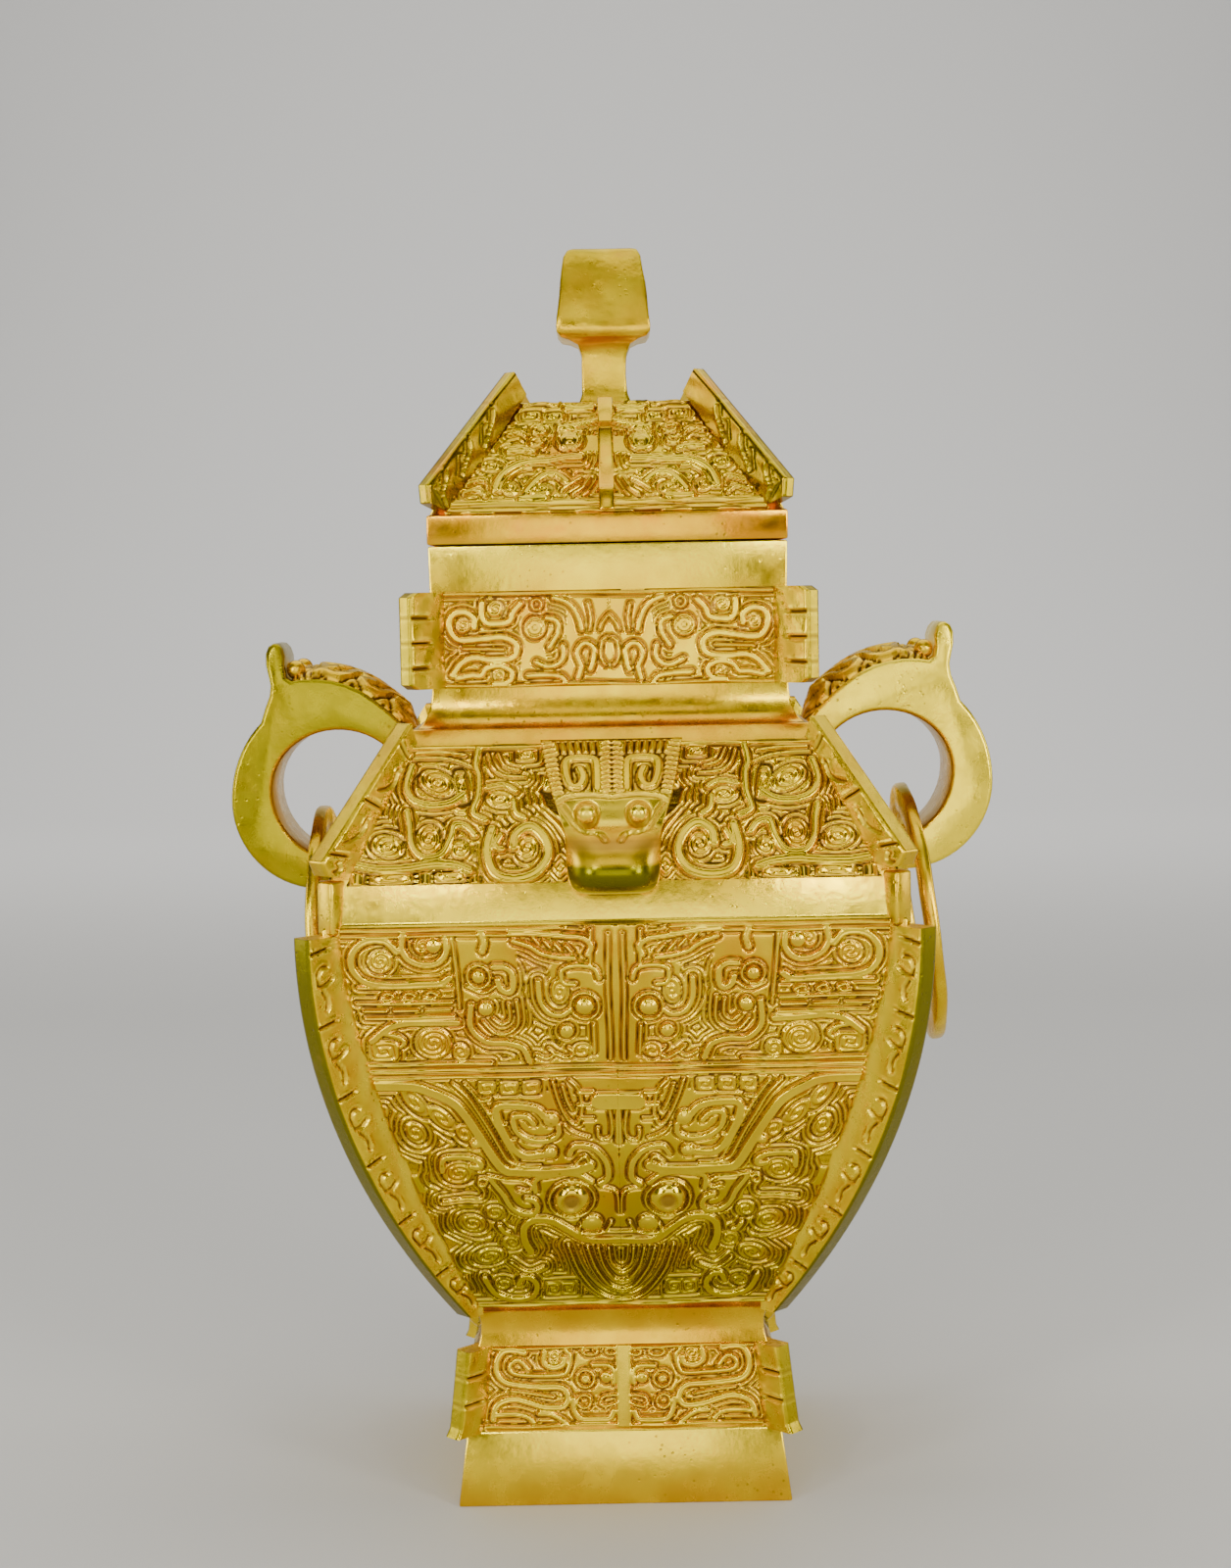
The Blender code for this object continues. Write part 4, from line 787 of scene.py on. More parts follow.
# %% Draw the shoulder's curled beasts
def draw_beasts(field):
    line, level, band, whorl = field.thread, field.level, field.band, field.whorl
    level(97.5, 33, 104)
    band([(96, 84), (94, 70), (88, 60), (80, 56), (72, 57), (67, 63)], 1.0)
    whorl(81, 72, 4.6, 3.0, 30)
    whorl(69.5, 69, 1.5, 3.9, -8, 4)
    line([(97, 90), (86, 90), (76, 88), (68, 84)])
    line([(97, 94), (84, 94), (72, 92)])
    band([(66, 96), (65, 84), (62, 76), (60, 62), (60, 50), (54, 45)], 0.9)
    line([(61, 93), (56, 82), (50, 77), (41, 76)])
    line([(56, 93), (51, 84), (44, 81)])
    whorl(42, 92, 2.4, 1.6, corner=5)
    whorl(50, 60, 3.2, 2.2, 10)
    band([(57, 68), (50, 70), (44, 66)], 0.8)
    band([(44, 58), (42, 50), (38, 46)], 0.8)
    band([(88.5, 52), (85, 42), (81, 28), (75, 19), (68, 20), (66, 31), (66, 41), (61, 40),
          (56.5, 34)], 0.95)
    whorl(75, 32, 2.9, 3.6)
    whorl(91, 28, 4.0, 2.9, 15)
    whorl(61, 24, 2.2, 2.4, way=-1)
    band([(100, 14), (91, 11.5), (80, 12), (70, 14), (61, 12.5), (55, 9)], 1.1)
    for u, wide in ((84, 4.6), (62, 3.4)):
        whorl(u, 4.5, wide, 1.2, corner=5)
    band([(50, 38), (49.5, 22), (45, 7), (37, 2.5), (29, 7), (25.5, 19), (28.5, 32), (35, 40), (40, 35),
          (40, 26)], 1.25)
    whorl(34.5, 25, 2.5, 3.2)
    band([(46, 34), (47, 26), (44, 24)], 0.8)
    whorl(20, 10, 2.0, 2.4, corner=1.2)


# %% Draw the dragons of the neck
def draw_neck_dragons(field):
    line, level, band = field.thread, field.level, field.band
    bead, ring, whorl, rest = field.bead, field.ring, field.whorl, field.rest
    for v in (97, 2):
        level(v, 0, 104)
    band([(81.5, 63), (82, 73), (88, 79), (95, 76), (97, 65), (94.5, 54), (89, 49), (76, 51), (65, 53),
          (57.5, 47.5), (56.5, 37), (60.5, 30), (72.5, 29), (82, 31), (90, 25.5), (96, 13)], 0.85)
    whorl(88.5, 64.5, 1.7, 1.9)
    band([(77, 88), (77, 74), (73.5, 67.5), (68, 67), (61, 69.5), (58.5, 79), (54, 87)], 0.8)
    whorl(69, 82, 1.9, 1.9)
    level(40, 88, 64)
    band([(93, 10), (84, 13), (78, 13), (74.5, 20), (66.5, 23), (60, 18), (59.5, 10), (63.5, 5),
          (70, 4.5)], 0.75)
    whorl(67, 13.5, 1.4, 1.5)
    bead(45.5, 62, 1.7, 0.8)
    ring(45.5, 62, 2.4)
    ring(44, 85.5, 1.3)
    band([(38, 71), (32, 68), (31, 57), (34, 48), (36.5, 41)], 0.7)
    band([(28.5, 42), (28, 30), (32, 22.5), (38, 21), (44.5, 26)], 0.7)
    band([(49.5, 12), (40, 12), (30, 10), (26.5, 4)], 0.7)
    band([(33, 92), (26, 88), (21, 80), (18, 68), (17, 58)], 0.7)
    band([(12, 17), (10.5, 26), (10, 38), (14, 44), (18, 41.5), (20, 32), (17.5, 20), (19, 8)], 0.7)
    line([(12.5, 86), (11, 70), (12, 58)])
    line([(0, 74), (4, 66), (6, 58)])
    line([(2, 50), (5, 46), (6, 30), (3, 22)])
    rest([(0, 0), (30, 0), (24, 100), (0, 100)])
    rest([(38, 14), (54, 14), (54, 95), (38, 95)])


# %% Draw the dragons of the foot
def draw_foot_dragons(field):
    line, level, band = field.thread, field.level, field.band
    bead, ring, whorl, rest = field.bead, field.ring, field.whorl, field.rest
    level(97.5, 4, 104)
    level(2.5, 4, 104)
    band([(76, 93), (84, 96), (92, 94), (95.5, 82), (94, 67), (87, 57), (74.5, 53), (61.5, 51), (48, 50),
          (42, 43), (41, 32), (45.5, 25), (58, 26), (69, 32), (79, 36), (88, 33), (93, 25.5),
          (94.5, 12)], 0.85)
    band([(72, 73), (79, 84), (84.5, 81), (85, 72), (79, 67), (64, 65), (46, 65), (41.5, 72), (40, 87),
          (44, 94)], 0.6)
    band([(60.5, 92), (60.5, 80), (53.5, 74), (46, 77), (45, 84)], 0.8)
    whorl(53, 87, 1.6, 1.8)
    line([(82, 46), (68, 43), (52, 38)])
    band([(92, 17), (79, 18), (70, 15), (65, 8)], 0.7)
    band([(61, 18), (53, 17), (45, 10), (41, 5)], 0.7)
    bead(28.5, 58.5, 1.0, 0.7)
    ring(28.5, 58.5, 2.2)
    band([(22.5, 74.5), (11, 74), (7.5, 66), (8, 53)], 0.65)
    bead(13.5, 60, 1.3, 0.9)
    line([(18, 28), (15, 37), (5, 38), (5.5, 30), (14, 25), (18, 28)])
    ring(29, 31, 1.7)
    band([(37, 34), (35.5, 20), (31, 10.5), (22, 9), (11, 10), (8, 19)], 0.8)
    ring(25, 92, 2.0, 0.5)
    ring(9, 92, 1.4, 0.6)
    band([(0, 0), (0, 100)], 2.0)
    rest([(0, 0), (10, 0), (10, 100), (0, 100)])
    rest([(10, 40), (40, 40), (38, 88), (10, 88)])


# %% Carve the registers on all four sides
REGISTERS = (
    ("small_masks", REGISTER, BAND, 6.0, draw_small_masks),
    ("beasts", SHOULDER, COVE, 6.0, draw_beasts),
    ("neck_dragons", NECK, RIM, 4.8, draw_neck_dragons),
    ("foot_dragons", FOOT_BAND + 0.8, WAIST, 5.2, draw_foot_dragons),
)
SIDE_NAMES = ("front", "right", "back", "left")
for title, *row in REGISTERS:
    hand_over(carve_panel(title + "_front", *row, 0, FINE_STEP), CARVED_GILT)
for side in (1, 2, 3):
    for title, *row in (MASK_ROW, *REGISTERS):
        panel = carve_panel(f"{title}_{SIDE_NAMES[side]}", *row, side, COARSE_STEP, COARSE_PITCH)
        hand_over(panel, CARVED_GILT)

# %% [markdown]
# ## Corner flanges
# A toothed flange stands out diagonally from every corner. It is a plate with softened edges,
# crossed by short cuts on its broad faces, with a small hook engraved between the cuts. A grid is
# wrapped round the plate like a strip of paper: one face, the narrow edge, the other face. The
# marks are cut into it by the same distance rule as the relief, and the open back is closed inside
# the body.

# %% Marks between the cuts, as mm in from the edge and shares of the way to the next cut
MARKS = {
    "none": (),
    "hooks": (
        ((5.4, 0.17), (3.6, 0.18), (2.2, 0.28), (2.5, 0.41)),
        ((2.2, 0.43), (4.4, 0.41), (6.6, 0.34)),
        ((3.2, 0.50), (4.3, 0.60), (4.2, 0.70), (3.7, 0.77)),
    ),
    "bends": (
        ((2.4, 0.78), (4.2, 0.66), (5.0, 0.50), (4.2, 0.34), (4.4, 0.26)),
    ),
    "strokes": (
        ((1.6, 0.10), (3.4, 0.30), (5.8, 0.85)),
        ((2.6, 0.52), (4.6, 0.74), (6.6, 1.00)),
    ),
}
# How far a cut leans for each mm inwards, and how much it fades at the very edge.
CUT_LEAN = {"hooks": 0.22}
CUT_KEEN = {"none": 0.5, "strokes": 0.5}


# %% Wrap a grid round a flange
def engrave(away, depth, width, burr):
    """A groove with a slight burr beside it, by the distance from its middle."""
    return depth * np.clip(1 - (away / width) ** 2, 0, 1) - 0.20 * np.exp(-((away - 0.85) / burr) ** 2)


def flange_cuts(run, into, length, cuts, kind, reach):
    """How deep the cuts and the marks between them go at each point of a flange."""
    stops = np.array([*cuts, 1.0]) * length
    keen = CUT_KEEN.get(kind, 1.0)
    fade = np.clip((reach - into) / 2.0, 0, 1) * (1 - keen + keen * np.clip(into / 0.9, 0, 1))
    depth = np.zeros(run.shape)
    for middle in stops[:-1]:
        depth += fade * engrave(np.abs(run - middle + CUT_LEAN.get(kind, 0) * into), 0.75, 0.5, 0.3)
    marks = np.full(run.shape, 9.0)
    for base, pitch in zip(stops[:-1], np.diff(stops)):
        near = (run > base) & (run < base + pitch)
        for shape in MARKS[kind]:
            path = spline([(inward, base + share * pitch) for inward, share in shape])
            for x, y in (path[:-1] + path[1:]) / 2:
                marks[near] = np.minimum(marks[near], np.hypot(into[near] - x, run[near] - y))
    return depth + engrave(marks, 0.62, 0.6, 0.25)


def wrap_flange(name, outer, root, thickness, cuts, kind, shade, quarter, step, reach=7.5):
    """A flange from its outer edge and its root, both (half width, height) lists from the top down."""
    outer, root = np.array(outer, dtype=float), np.array(root, dtype=float)
    length = distances(outer)[-1]
    rows = int(length / step) + 2
    depth = max(math.hypot(*(outer[0] - root[0])) * ROOT2, 6.0)
    per_face, per_end = int(depth / step), max(int(thickness / step), 4)
    columns = 2 * per_face + per_end
    rim = thickness / 2
    piece = sheet(name, columns, rows)
    grid = points_of(piece, 1)
    column = np.rint((grid[:, 0] + 1) / 2 * columns)
    row = np.rint((1 - grid[:, 1]) / 2 * rows)
    w = np.interp(column, (0, per_face, per_face + per_end, columns), (-depth - rim, -rim, rim, depth + rim))
    v = np.clip((row - 1) / (rows - 2), 0, 1)
    share = np.clip(np.abs(w) - rim, 0, None) / depth
    edge, base = follow(outer, v), follow(root, v)
    half, height = (edge + (base - edge) * share[:, None]).T
    into = share * np.hypot(*((base - edge) * (ROOT2, 1)).T)
    run = v * length
    cut = flange_cuts(run, into, length, cuts, kind, reach)
    on_face = np.abs(w) > rim + 0.01
    rounding = 0.35 * np.clip(1 - np.abs(np.abs(w) - rim) / 0.9, 0, 1) ** 2
    lift = 0.10 * np.sin(run / 5.0 + quarter) + 0.06 * np.sin(run / 2.3 + into) - cut - rounding
    offset = np.clip(w, -rim, rim) + np.sign(w) * np.where(on_face, lift, -rounding)
    offset[(row < 0.5) | (row > rows - 0.5)] = 0
    half = half + np.where(on_face, -rounding, 0.12 * lift - rounding) / ROOT2
    move_points(piece, np.stack([half * ROOT2, offset, height], axis=1), quarter + 0.5)
    # Painted highlight along the root of hooked and bent flanges, painted olive shade and painted shade on
    # the narrow edge, and painted shade with orange on the broad faces of stroked flanges.
    stroked = on_face * (kind == "strokes")
    root_highlight = 0.7 * ramp(share, 0.55, 0.75) * (kind in ("hooks", "bends"))
    paint(
        piece,
        groove=np.clip(cut * 1.3, 0, 1),
        crest=np.clip(root_highlight - cut * 5, 0, 1),
        dull=np.where(on_face, 0.0, 0.2 + shade),
        shade=np.where(on_face, 0.75 * stroked, shade),
        warm=0.6 * stroked,
    )
    only(piece)
    edit_all()
    bpy.ops.mesh.remove_doubles(threshold=0.01 * MM)
    close_sheet(piece)
    settle(piece)
    smooth(piece, 50)
    return piece


BURIED = 2.8


def root_line(low, high, count=16):
    """A flange's root between two heights, buried in the wall."""
    return [(half_at(z) - BURIED, z) for z in np.linspace(high, low, count)]


def straight(start, end, count=16):
    return [tuple(place) for place in np.linspace(start, end, count)]


# %% Flanges on the body's corners
BELLY_TIP, BELLY_RISE = BELLY - 2.6, BAND - 1.6
belly_edge = [(74.2 - (74.2 - 40.2) * (1 - share) ** 2, BELLY_TIP + (BELLY_RISE - BELLY_TIP) * share)
              for share in np.linspace(1, 0, 40)]
belly_root = root_line(BELLY, BELLY_RISE, count=30) + [(37.2, BELLY_TIP)]
neck_edge = [(48.4, RIM)] + [(49.8, z) for z in np.linspace(RIM - 1.2, NECK + 1.2, 10)] + [(48.4, NECK)]
foot_edge = [(half_at(z) + 3.8, z) for z in np.linspace(WAIST, FOOT_BAND, 12)]
shoulder_edge = straight((50.6, COVE + 5.6), (70.7, SHOULDER + 6.2)) + [(69.6, SHOULDER + 2.8)]
shoulder_root = root_line(SHOULDER + 1.5, COVE)
CORNERS = {
    "foot_flange": (foot_edge, root_line(FOOT_BAND, WAIST), 5.2, (0.3, 0.62), "none", 0.3),
    "neck_flange": (neck_edge, root_line(NECK, RIM), 4.8, (0.27, 0.52, 0.77), "none", 0.3),
    "shoulder_flange": (shoulder_edge, shoulder_root, 6.0, (0.12, 0.49, 0.85), "bends", 0.0),
    "belly_flange": (belly_edge, belly_root, 6.0, (0.035, 0.20, 0.37, 0.54, 0.70, 0.86), "hooks", 0.95),
}
for title, shape in CORNERS.items():
    for quarter in range(4):
        flange = wrap_flange(f"{title}_{quarter}", *shape, quarter, 0.46 if quarter > 1 else 1.0)
        hand_over(flange, FLANGE_GILT)

# %% [markdown]
# ## Low ridge past the plain band
# The flange all but stops at the plain band and leaves a low step on its corners. A short bar per
# corner, bevelled and turned to the diagonal, is enough.

# %% Ridge stubs
for quarter in range(4):
    deselect()
    bpy.ops.mesh.primitive_cube_add(size=1, location=(67.4 * ROOT2 * MM, 0, 157.0 * MM))
    stub = named(f"band_ridge_{quarter}")
    bpy.ops.transform.resize(value=(4.6 * MM, 5.6 * MM, 13.0 * MM))
    settle(stub)
    soften(stub, 0.8, 3)
    move_points(stub, points_of(stub), quarter + 0.5)
    smooth(stub, 38)
    hand_over(stub, FLANGE_GILT)

# %% [markdown]
# ## The handles
# Each handle is a broad cast loop: a flat face that bows out and back to the shoulder, and an animal
# head above it with a curled mane, two round eyes and an upturned snout. Its side view is drawn
# as a flat face, extruded to the handle's thickness, and its long edges are softened.


# %% Side view of a handle
def oval(centre, reach, rise, fall, start, end, steps):
    points = []
    for angle in np.radians(np.linspace(start, end, steps)):
        tall = rise if math.sin(angle) > 0 else fall
        points.append((centre[0] + reach * math.cos(angle), centre[1] + tall * math.sin(angle)))
    return points


NAPE = [(53.5, 199.4), (57.4, 203.2), (60.8, 206.0), (64.5, 208.6), (68.4, 210.4), (72, 211.4), (76, 211.9),
        (80, 211.8)]
SNOUT = [(84.0, 212.4), (84.4, 215.0), (84.3, 217.6), (84.9, 219.7), (86.0, 220.9), (87.3, 221.1),
         (88.6, 220.3), (89.3, 218.5), (89.2, 215.6), (88.4, 212.4), (88.0, 210.2), (88.4, 207.4),
         (89.6, 204.4)]
BOW = oval((76, 180), 23, 27, 23, 50, -90, 28)
LIMB = [(70, 156.9), (66.3, 157.2), (66.3, 164.6)]
HOLE_X, HOLE_Z = 71, 183
HOLE = oval((HOLE_X, HOLE_Z), 17.3, 15.5, 18, -104, 130, 34)
HANDLE_SIDE = [(50.4, 195.6), *NAPE, (82.6, 211.4), *SNOUT, *BOW, *LIMB, *HOLE, (52.0, 188.4)]
HANDLE_THICK = 24.0
HANDLES = (("right", 0, 0.0), ("left", 2, 2.4))

# %% Handles, the left one hung a little lower, with painted shade on the left and a painted highlight on the right
for label, quarter, drop in HANDLES:
    handle = cut_plate("handle_" + label, HANDLE_SIDE, HANDLE_THICK)
    soften(handle, 1.3, 3, 60)
    points = points_of(handle)
    points[:, 1] *= 1 - 0.25 * ramp(points[:, 2], 213, 220) * ramp(points[:, 0], 78, 82)
    near_hole = np.hypot(points[:, 0] - HOLE_X, (points[:, 2] - HOLE_Z) * 1.03) < 19.2
    hole = near_hole & (np.abs(points[:, 1]) < HANDLE_THICK / 2 - 0.1)
    move_points(handle, points - (0, 0, drop), quarter)
    smooth(handle, 42)
    # Painted olive shade and painted shade on the left handle, a painted highlight on the right one, and
    # painted shade with orange inside the hole.
    dull = float(label == "left")
    paint(
        handle,
        dull=np.where(hole, 0.0, dull),
        shade=np.where(hole, 0.3, 0.35 * dull),
        crest=np.where(hole, 0.0, 1.2 * (1 - dull)),
        warm=1.6 * hole,
    )
    hand_over(handle, HANDLE_GILT)

# %% [markdown]
# The mane and the face lie on top of the handle: leaf curls that sweep back from the brow, and
# two bead eyes. The curls are carved into a strip that follows the crest.


# %% Mane strips and eyes
def build_mane(name, quarter, drop):
    nape = spline([(49.8, 194.6), *((x, z - 0.4) for x, z in NAPE), (83.4, 211.0)])
    run = distances(nape)
    piece, grid, skirt = skirted_sheet(name, 44, 80)
    reach = 11.4
    across = grid[:, 0] * reach
    share = (grid[:, 1] + 1) / 2
    along = share * run[-1]
    carving = Carving(np.abs(across), along, lambda at: reach + 0 * at, lambda at: at * run[-1], 1.5)
    for base in (6, 30, 54):
        leaf = ((8, 0), (40, 6), (80, 10), (92, 18), (70, 24), (50, 18))
        vein = ((12, 10), (34, 16), (40, 24))
        carving.band([(u, base + v) for u, v in leaf], 1.1)
        carving.band([(u, base + v) for u, v in vein], 0.8)
    carving.band([(0, 2), (0, 78)], 1.0)
    carving.band([(20, 80), (60, 78), (90, 82)], 1.0)
    relief = 1.7 * carving.heights()
    arch = np.sqrt(1 - (across / 11.6) ** 2)
    ends = ramp(along, 0, 9) * np.clip((run[-1] - along) / 5 + 0.25, 0, 1)
    height = (3.3 * arch + relief * 0.8 * np.clip(arch * 3, 0, 1)) * ends - 0.3
    height[skirt] = -1.5
    base = follow(nape, share)
    way = follow(nape, share, np.gradient(nape, run, axis=0))
    out = base[:, 0] - way[:, 1] * height
    up = base[:, 1] + way[:, 0] * height - drop
    move_points(piece, np.stack([out, across, up], axis=1), quarter)
    paint(piece, groove=1 - ramp(relief, 0, 0.9), warm=0.6)
    settle(piece)
    smooth(piece)
    return piece


def build_bead(name, place, radius, quarter=0):
    deselect()
    middle = [part * MM for part in place]
    bpy.ops.mesh.primitive_uv_sphere_add(segments=28, ring_count=16, radius=radius * MM, location=middle)
    bead = named(name)
    settle(bead)
    smooth(bead)
    move_points(bead, points_of(bead), quarter)
    return bead


for label, quarter, drop in HANDLES:
    hand_over(build_mane("mane_" + label, quarter, drop), HANDLE_GILT)
    for number, sign in enumerate((-1, 1)):
        eye = build_bead(f"handle_eye_{label}_{number}", (81.6, sign * 8.0, 214.2 - drop), 2.5, quarter)
        hand_over(eye, HANDLE_GILT)

# %% [markdown]
# ## The animal heads on the shoulder
# A broad-muzzled head stands out from the middle of the front and of the back. From the side its
# brow runs down with the shoulder, steps out to a smooth polished muzzle and turns under to the
# chin. The head is a sheet drawn along that side view and rounded across, closed at its edges
# inside the body.

# %% Side view and scrolls of a head, as height, half width and how far it stands out
HEAD_STATIONS = [
    (195.0, 17.2, 1.8), (190.0, 16.4, 3.0), (185.0, 15.3, 4.8), (181.5, 14.1, 6.4), (178.4, 13.0, 6.8),
    (175.8, 12.2, 7.6), (173.8, 11.6, 10.4), (171.4, 11.3, 12.9), (168.4, 11.2, 13.7), (165.2, 11.0, 13.2),
    (162.4, 10.4, 10.8), (160.2, 8.6, 7.0), (159.2, 6.4, 0.8),
]
EYE_OUT, SOCKET_Z, SOCKET = 6.1, 178.2, 3.2


def draw_head(field):
    line, band, rest = field.thread, field.band, field.rest
    band([(24, 72), (23, 87), (36, 90), (64, 89), (70, 82), (66, 75), (52, 74.5), (44, 79), (48, 84)], 0.85)
    for v in np.arange(71.5, 98, 2.6):
        line([(97, v - 1), (82, v)])
        line([(4, v + 1), (15, v)])
    for u in np.arange(16, 84, 10.5):
        line([(u, 93), (u + 1.5, 98)])
    line([(3, 69), (40, 70), (75, 69), (97, 66)])
    line([(90, 64), (78, 57), (66, 51), (50, 48), (36, 48), (24, 46), (16, 42)])
    rest([(0, -2), (130, -2), (130, 102), (0, 102)])


# %% Sheet for a head
def build_head(name, quarter, step):
    heights, widths, proud = spline(HEAD_STATIONS, 8).T
    outs = half_at(heights) + proud
    side = np.stack([outs, heights], axis=1)
    run = distances(side)
    piece = sheet(name, int(34 / step), int(run[-1] / step))
    grid = points_of(piece, 1)
    tucked = 1.12
    across = np.abs(grid[:, 0]) * tucked
    share = (1 - grid[:, 1]) / 2
    tangent = np.gradient(side, run, axis=0)
    table = np.stack([widths, heights, proud, outs, -tangent[:, 1], tangent[:, 0]], axis=1)
    wide, up, raised, out, nose_out, nose_up = follow(side, share, table).T
    muzzle = ramp(up, 177, 173)
    size = np.minimum(across, 1)
    wall = ramp(across, 1, tucked)
    reach = 13.0
    up_face = (1 - share) * run[-1]
    carving = Carving(across * reach, up_face, lambda at: reach + 0 * at, lambda at: at * run[-1], 1.2)
    draw_head(carving)
    relief = carving.heights()
    socket = np.hypot(across * wide - EYE_OUT, up - SOCKET_Z)
    lift = (1.05 * relief - 0.5) * (1 - wall) - 1.1 * ramp(socket, SOCKET, 2.6)
    fall = (0.30 + 0.16 * muzzle) * size ** 3.4
    stand = raised * (1 - fall) * (1 - wall) - 2.5 * wall
    forward = out - raised + stand + lift * nose_out
    place = np.stack([np.sign(grid[:, 0]) * wide * size, -forward, up + lift * nose_up], axis=1)
    move_points(piece, place, quarter)
    on_skin = size < 0.98
    stripe = np.clip(1.5 - np.abs(up - 171.6) / 1.6, 0, 1) * 0.5 * on_skin
    # A ring of painted shade over copper round each eye, in its shallow socket.
    rim = 0.8 * ramp(socket, SOCKET, 2.7)
    # Painted highlight on the face round the eyes and painted shade under the muzzle.
    paint(
        piece,
        groove=(1 - ramp(relief, -0.06, 0.38)) * (1 - muzzle) + np.maximum(stripe, rim),
        crest=0.8 * ramp(up, 184, 181) * ramp(up, 173, 175),
        shade=1.25 * ramp(up, 167.6, 166.4) * on_skin,
    )
    close_sheet(piece)
    settle(piece)
    smooth(piece)
    return piece


for label, quarter, step in (("front", 0, 0.33), ("back", 2, 0.6)):
    hand_over(build_head("head_" + label, quarter, step), HEAD_GILT)
    for number, sign in enumerate((-1, 1)):
        eye = build_bead(f"head_eye_{label}_{number}", (sign * EYE_OUT, -68.6, 178.4), 2.4, quarter)
        # A painted highlight all over the eye beads.
        paint(eye, crest=1.0)
        hand_over(eye, HEAD_GILT)

# %% [markdown]
# ## Waist lugs
# A small upright bead sits at the waist on each handle side, half in the wall. A ball stretched to
# an oval is enough for so small a piece.

# %% Lugs
for number, sign in enumerate((-1, 1)):
    lug = build_bead(f"waist_lug_{number}", (0, 0, 0), 1.0)
    move_points(lug, points_of(lug) * (5.4, 3.5, 6.5) + (sign * 36.8, 0, WAIST))
    hand_over(lug, PLAIN_GILT)

# %% [markdown]
# ## The lid
# The lid is its own casting: a rim that sits on the mouth, a collar that drops inside it, and a
# steep roof with a flat top. It is drawn from its hollow ceiling down and round, in the same way as
# the core. Its four slopes carry small masks, with a ridge down the middle of each, and flanges made
# like the body's stand on its four hips.

# %% Lid shell
ROOF_HALF, TOP_HALF, RIM_HALF = 42.9, 22.8, 44.2
COLLAR_OUT, COLLAR_IN, COLLAR_END, RIM_UNDER = 39.3, 36.3, 233.8, 242.8
SHELL_WALL = 3.4
SLOPE = (ROOF_HALF - TOP_HALF) / (LID_TOP - ROOF)
ceiling = LID_TOP - SHELL_WALL
ceiling_half = TOP_HALF + SLOPE * SHELL_WALL - math.hypot(1, SLOPE) * SHELL_WALL
spring = ceiling - (COLLAR_IN - ceiling_half) / SLOPE
lid_levels = [
    (COLLAR_IN, spring), (COLLAR_IN, COLLAR_END), (COLLAR_OUT, COLLAR_END), (COLLAR_OUT, RIM_UNDER),
    (RIM_HALF, RIM_UNDER), (RIM_HALF, ROOF), (ROOF_HALF, ROOF + 0.2), (TOP_HALF, LID_TOP), (1.0, LID_TOP),
]
shell = draw_square("lid_shell", ceiling_half, ceiling, lid_levels)
soften(shell, 0.5, 2, 28)
smooth(shell, 40)
paint(shell, warm=0.7 * zone(points_of(shell)[:, 2], 243.5, ROOF + 0.5))
hand_over(shell, LID_GILT, "lid")


# %% Lid slopes
def draw_lid_mask(field):
    line, level, band = field.thread, field.level, field.band
    bead, ring, whorl, rest = field.bead, field.ring, field.whorl, field.rest
    level(7, 0, 100)
    bead(32, 62, 2.4, 1.1)
    ring(32, 62, 3.2, 0.8)
    line([(44, 70), (34, 73), (22, 71)])
    band([(46, 77), (44, 75), (32, 76), (8, 81)], 0.7)
    band([(76, 20), (77, 33), (72, 41), (63, 44.5), (47, 45), (32, 47), (21, 47)], 0.95)
    whorl(67, 22, 2.0, 2.4, -20)
    line([(72, 18), (72, 30), (66, 38), (58, 39)])
    band([(54, 16), (50, 27), (45, 32), (37, 32), (28, 25)], 0.8)
    whorl(45, 20, 3.0, 2.0)
    band([(56, 11), (46, 11.5), (40, 11)], 0.8)
    line([(30, 18), (24, 24), (18, 28)])
    line([(22, 14), (16, 20), (12, 28)])
    ring(64, 73, 1.7, 0.6)
    ring(62, 62, 1.6, 0.6)
    band([(84, 55), (74, 56), (62, 54)], 0.7)
    line([(94, 70), (84, 72), (76, 68)])
    line([(98, 24), (88, 28), (82, 22)])
    line([(96, 16), (88, 19), (80, 14)])
    whorl(90, 42, 2.6, 1.8)
    whorl(56, 86, 2.6, 1.5, corner=4)
    whorl(82, 88, 2.4, 1.4, corner=4)
    band([(44, 93), (30, 92), (16, 93)], 0.8)
    rest([(0, 52), (48, 52), (46, 68), (0, 68)])


slope = ((ROOF_HALF, TOP_HALF), (ROOF, LID_TOP))
for side, title in enumerate(SIDE_NAMES):
    step, pitch = (0.68, 1.8) if side else (0.34, 1.25)
    panel = carve_panel("lid_mask_" + title, ROOF + 0.3, LID_TOP - 0.3, 4.2, draw_lid_mask, side, step,
                        pitch, profile=slope, strength=1.5)
    hand_over(panel, LID_GILT, "lid")

# %% Hip flanges
hip_edge = straight((24.0, 286.0), (44.9, 257.4), 24) + [(44.6, 253.2)]
hip_root = straight((21.2, 280.6), (39.6, 250.6), 24)
hip_shape = (hip_edge, hip_root, 4.2, (0.25, 0.5, 0.75), "strokes", 0.3)
for quarter in range(4):
    step = 0.42 if quarter > 1 else 0.9
    flange = wrap_flange(f"hip_flange_{quarter}", *hip_shape, quarter, step, reach=1.0)
    hand_over(flange, LID_GILT, "lid")

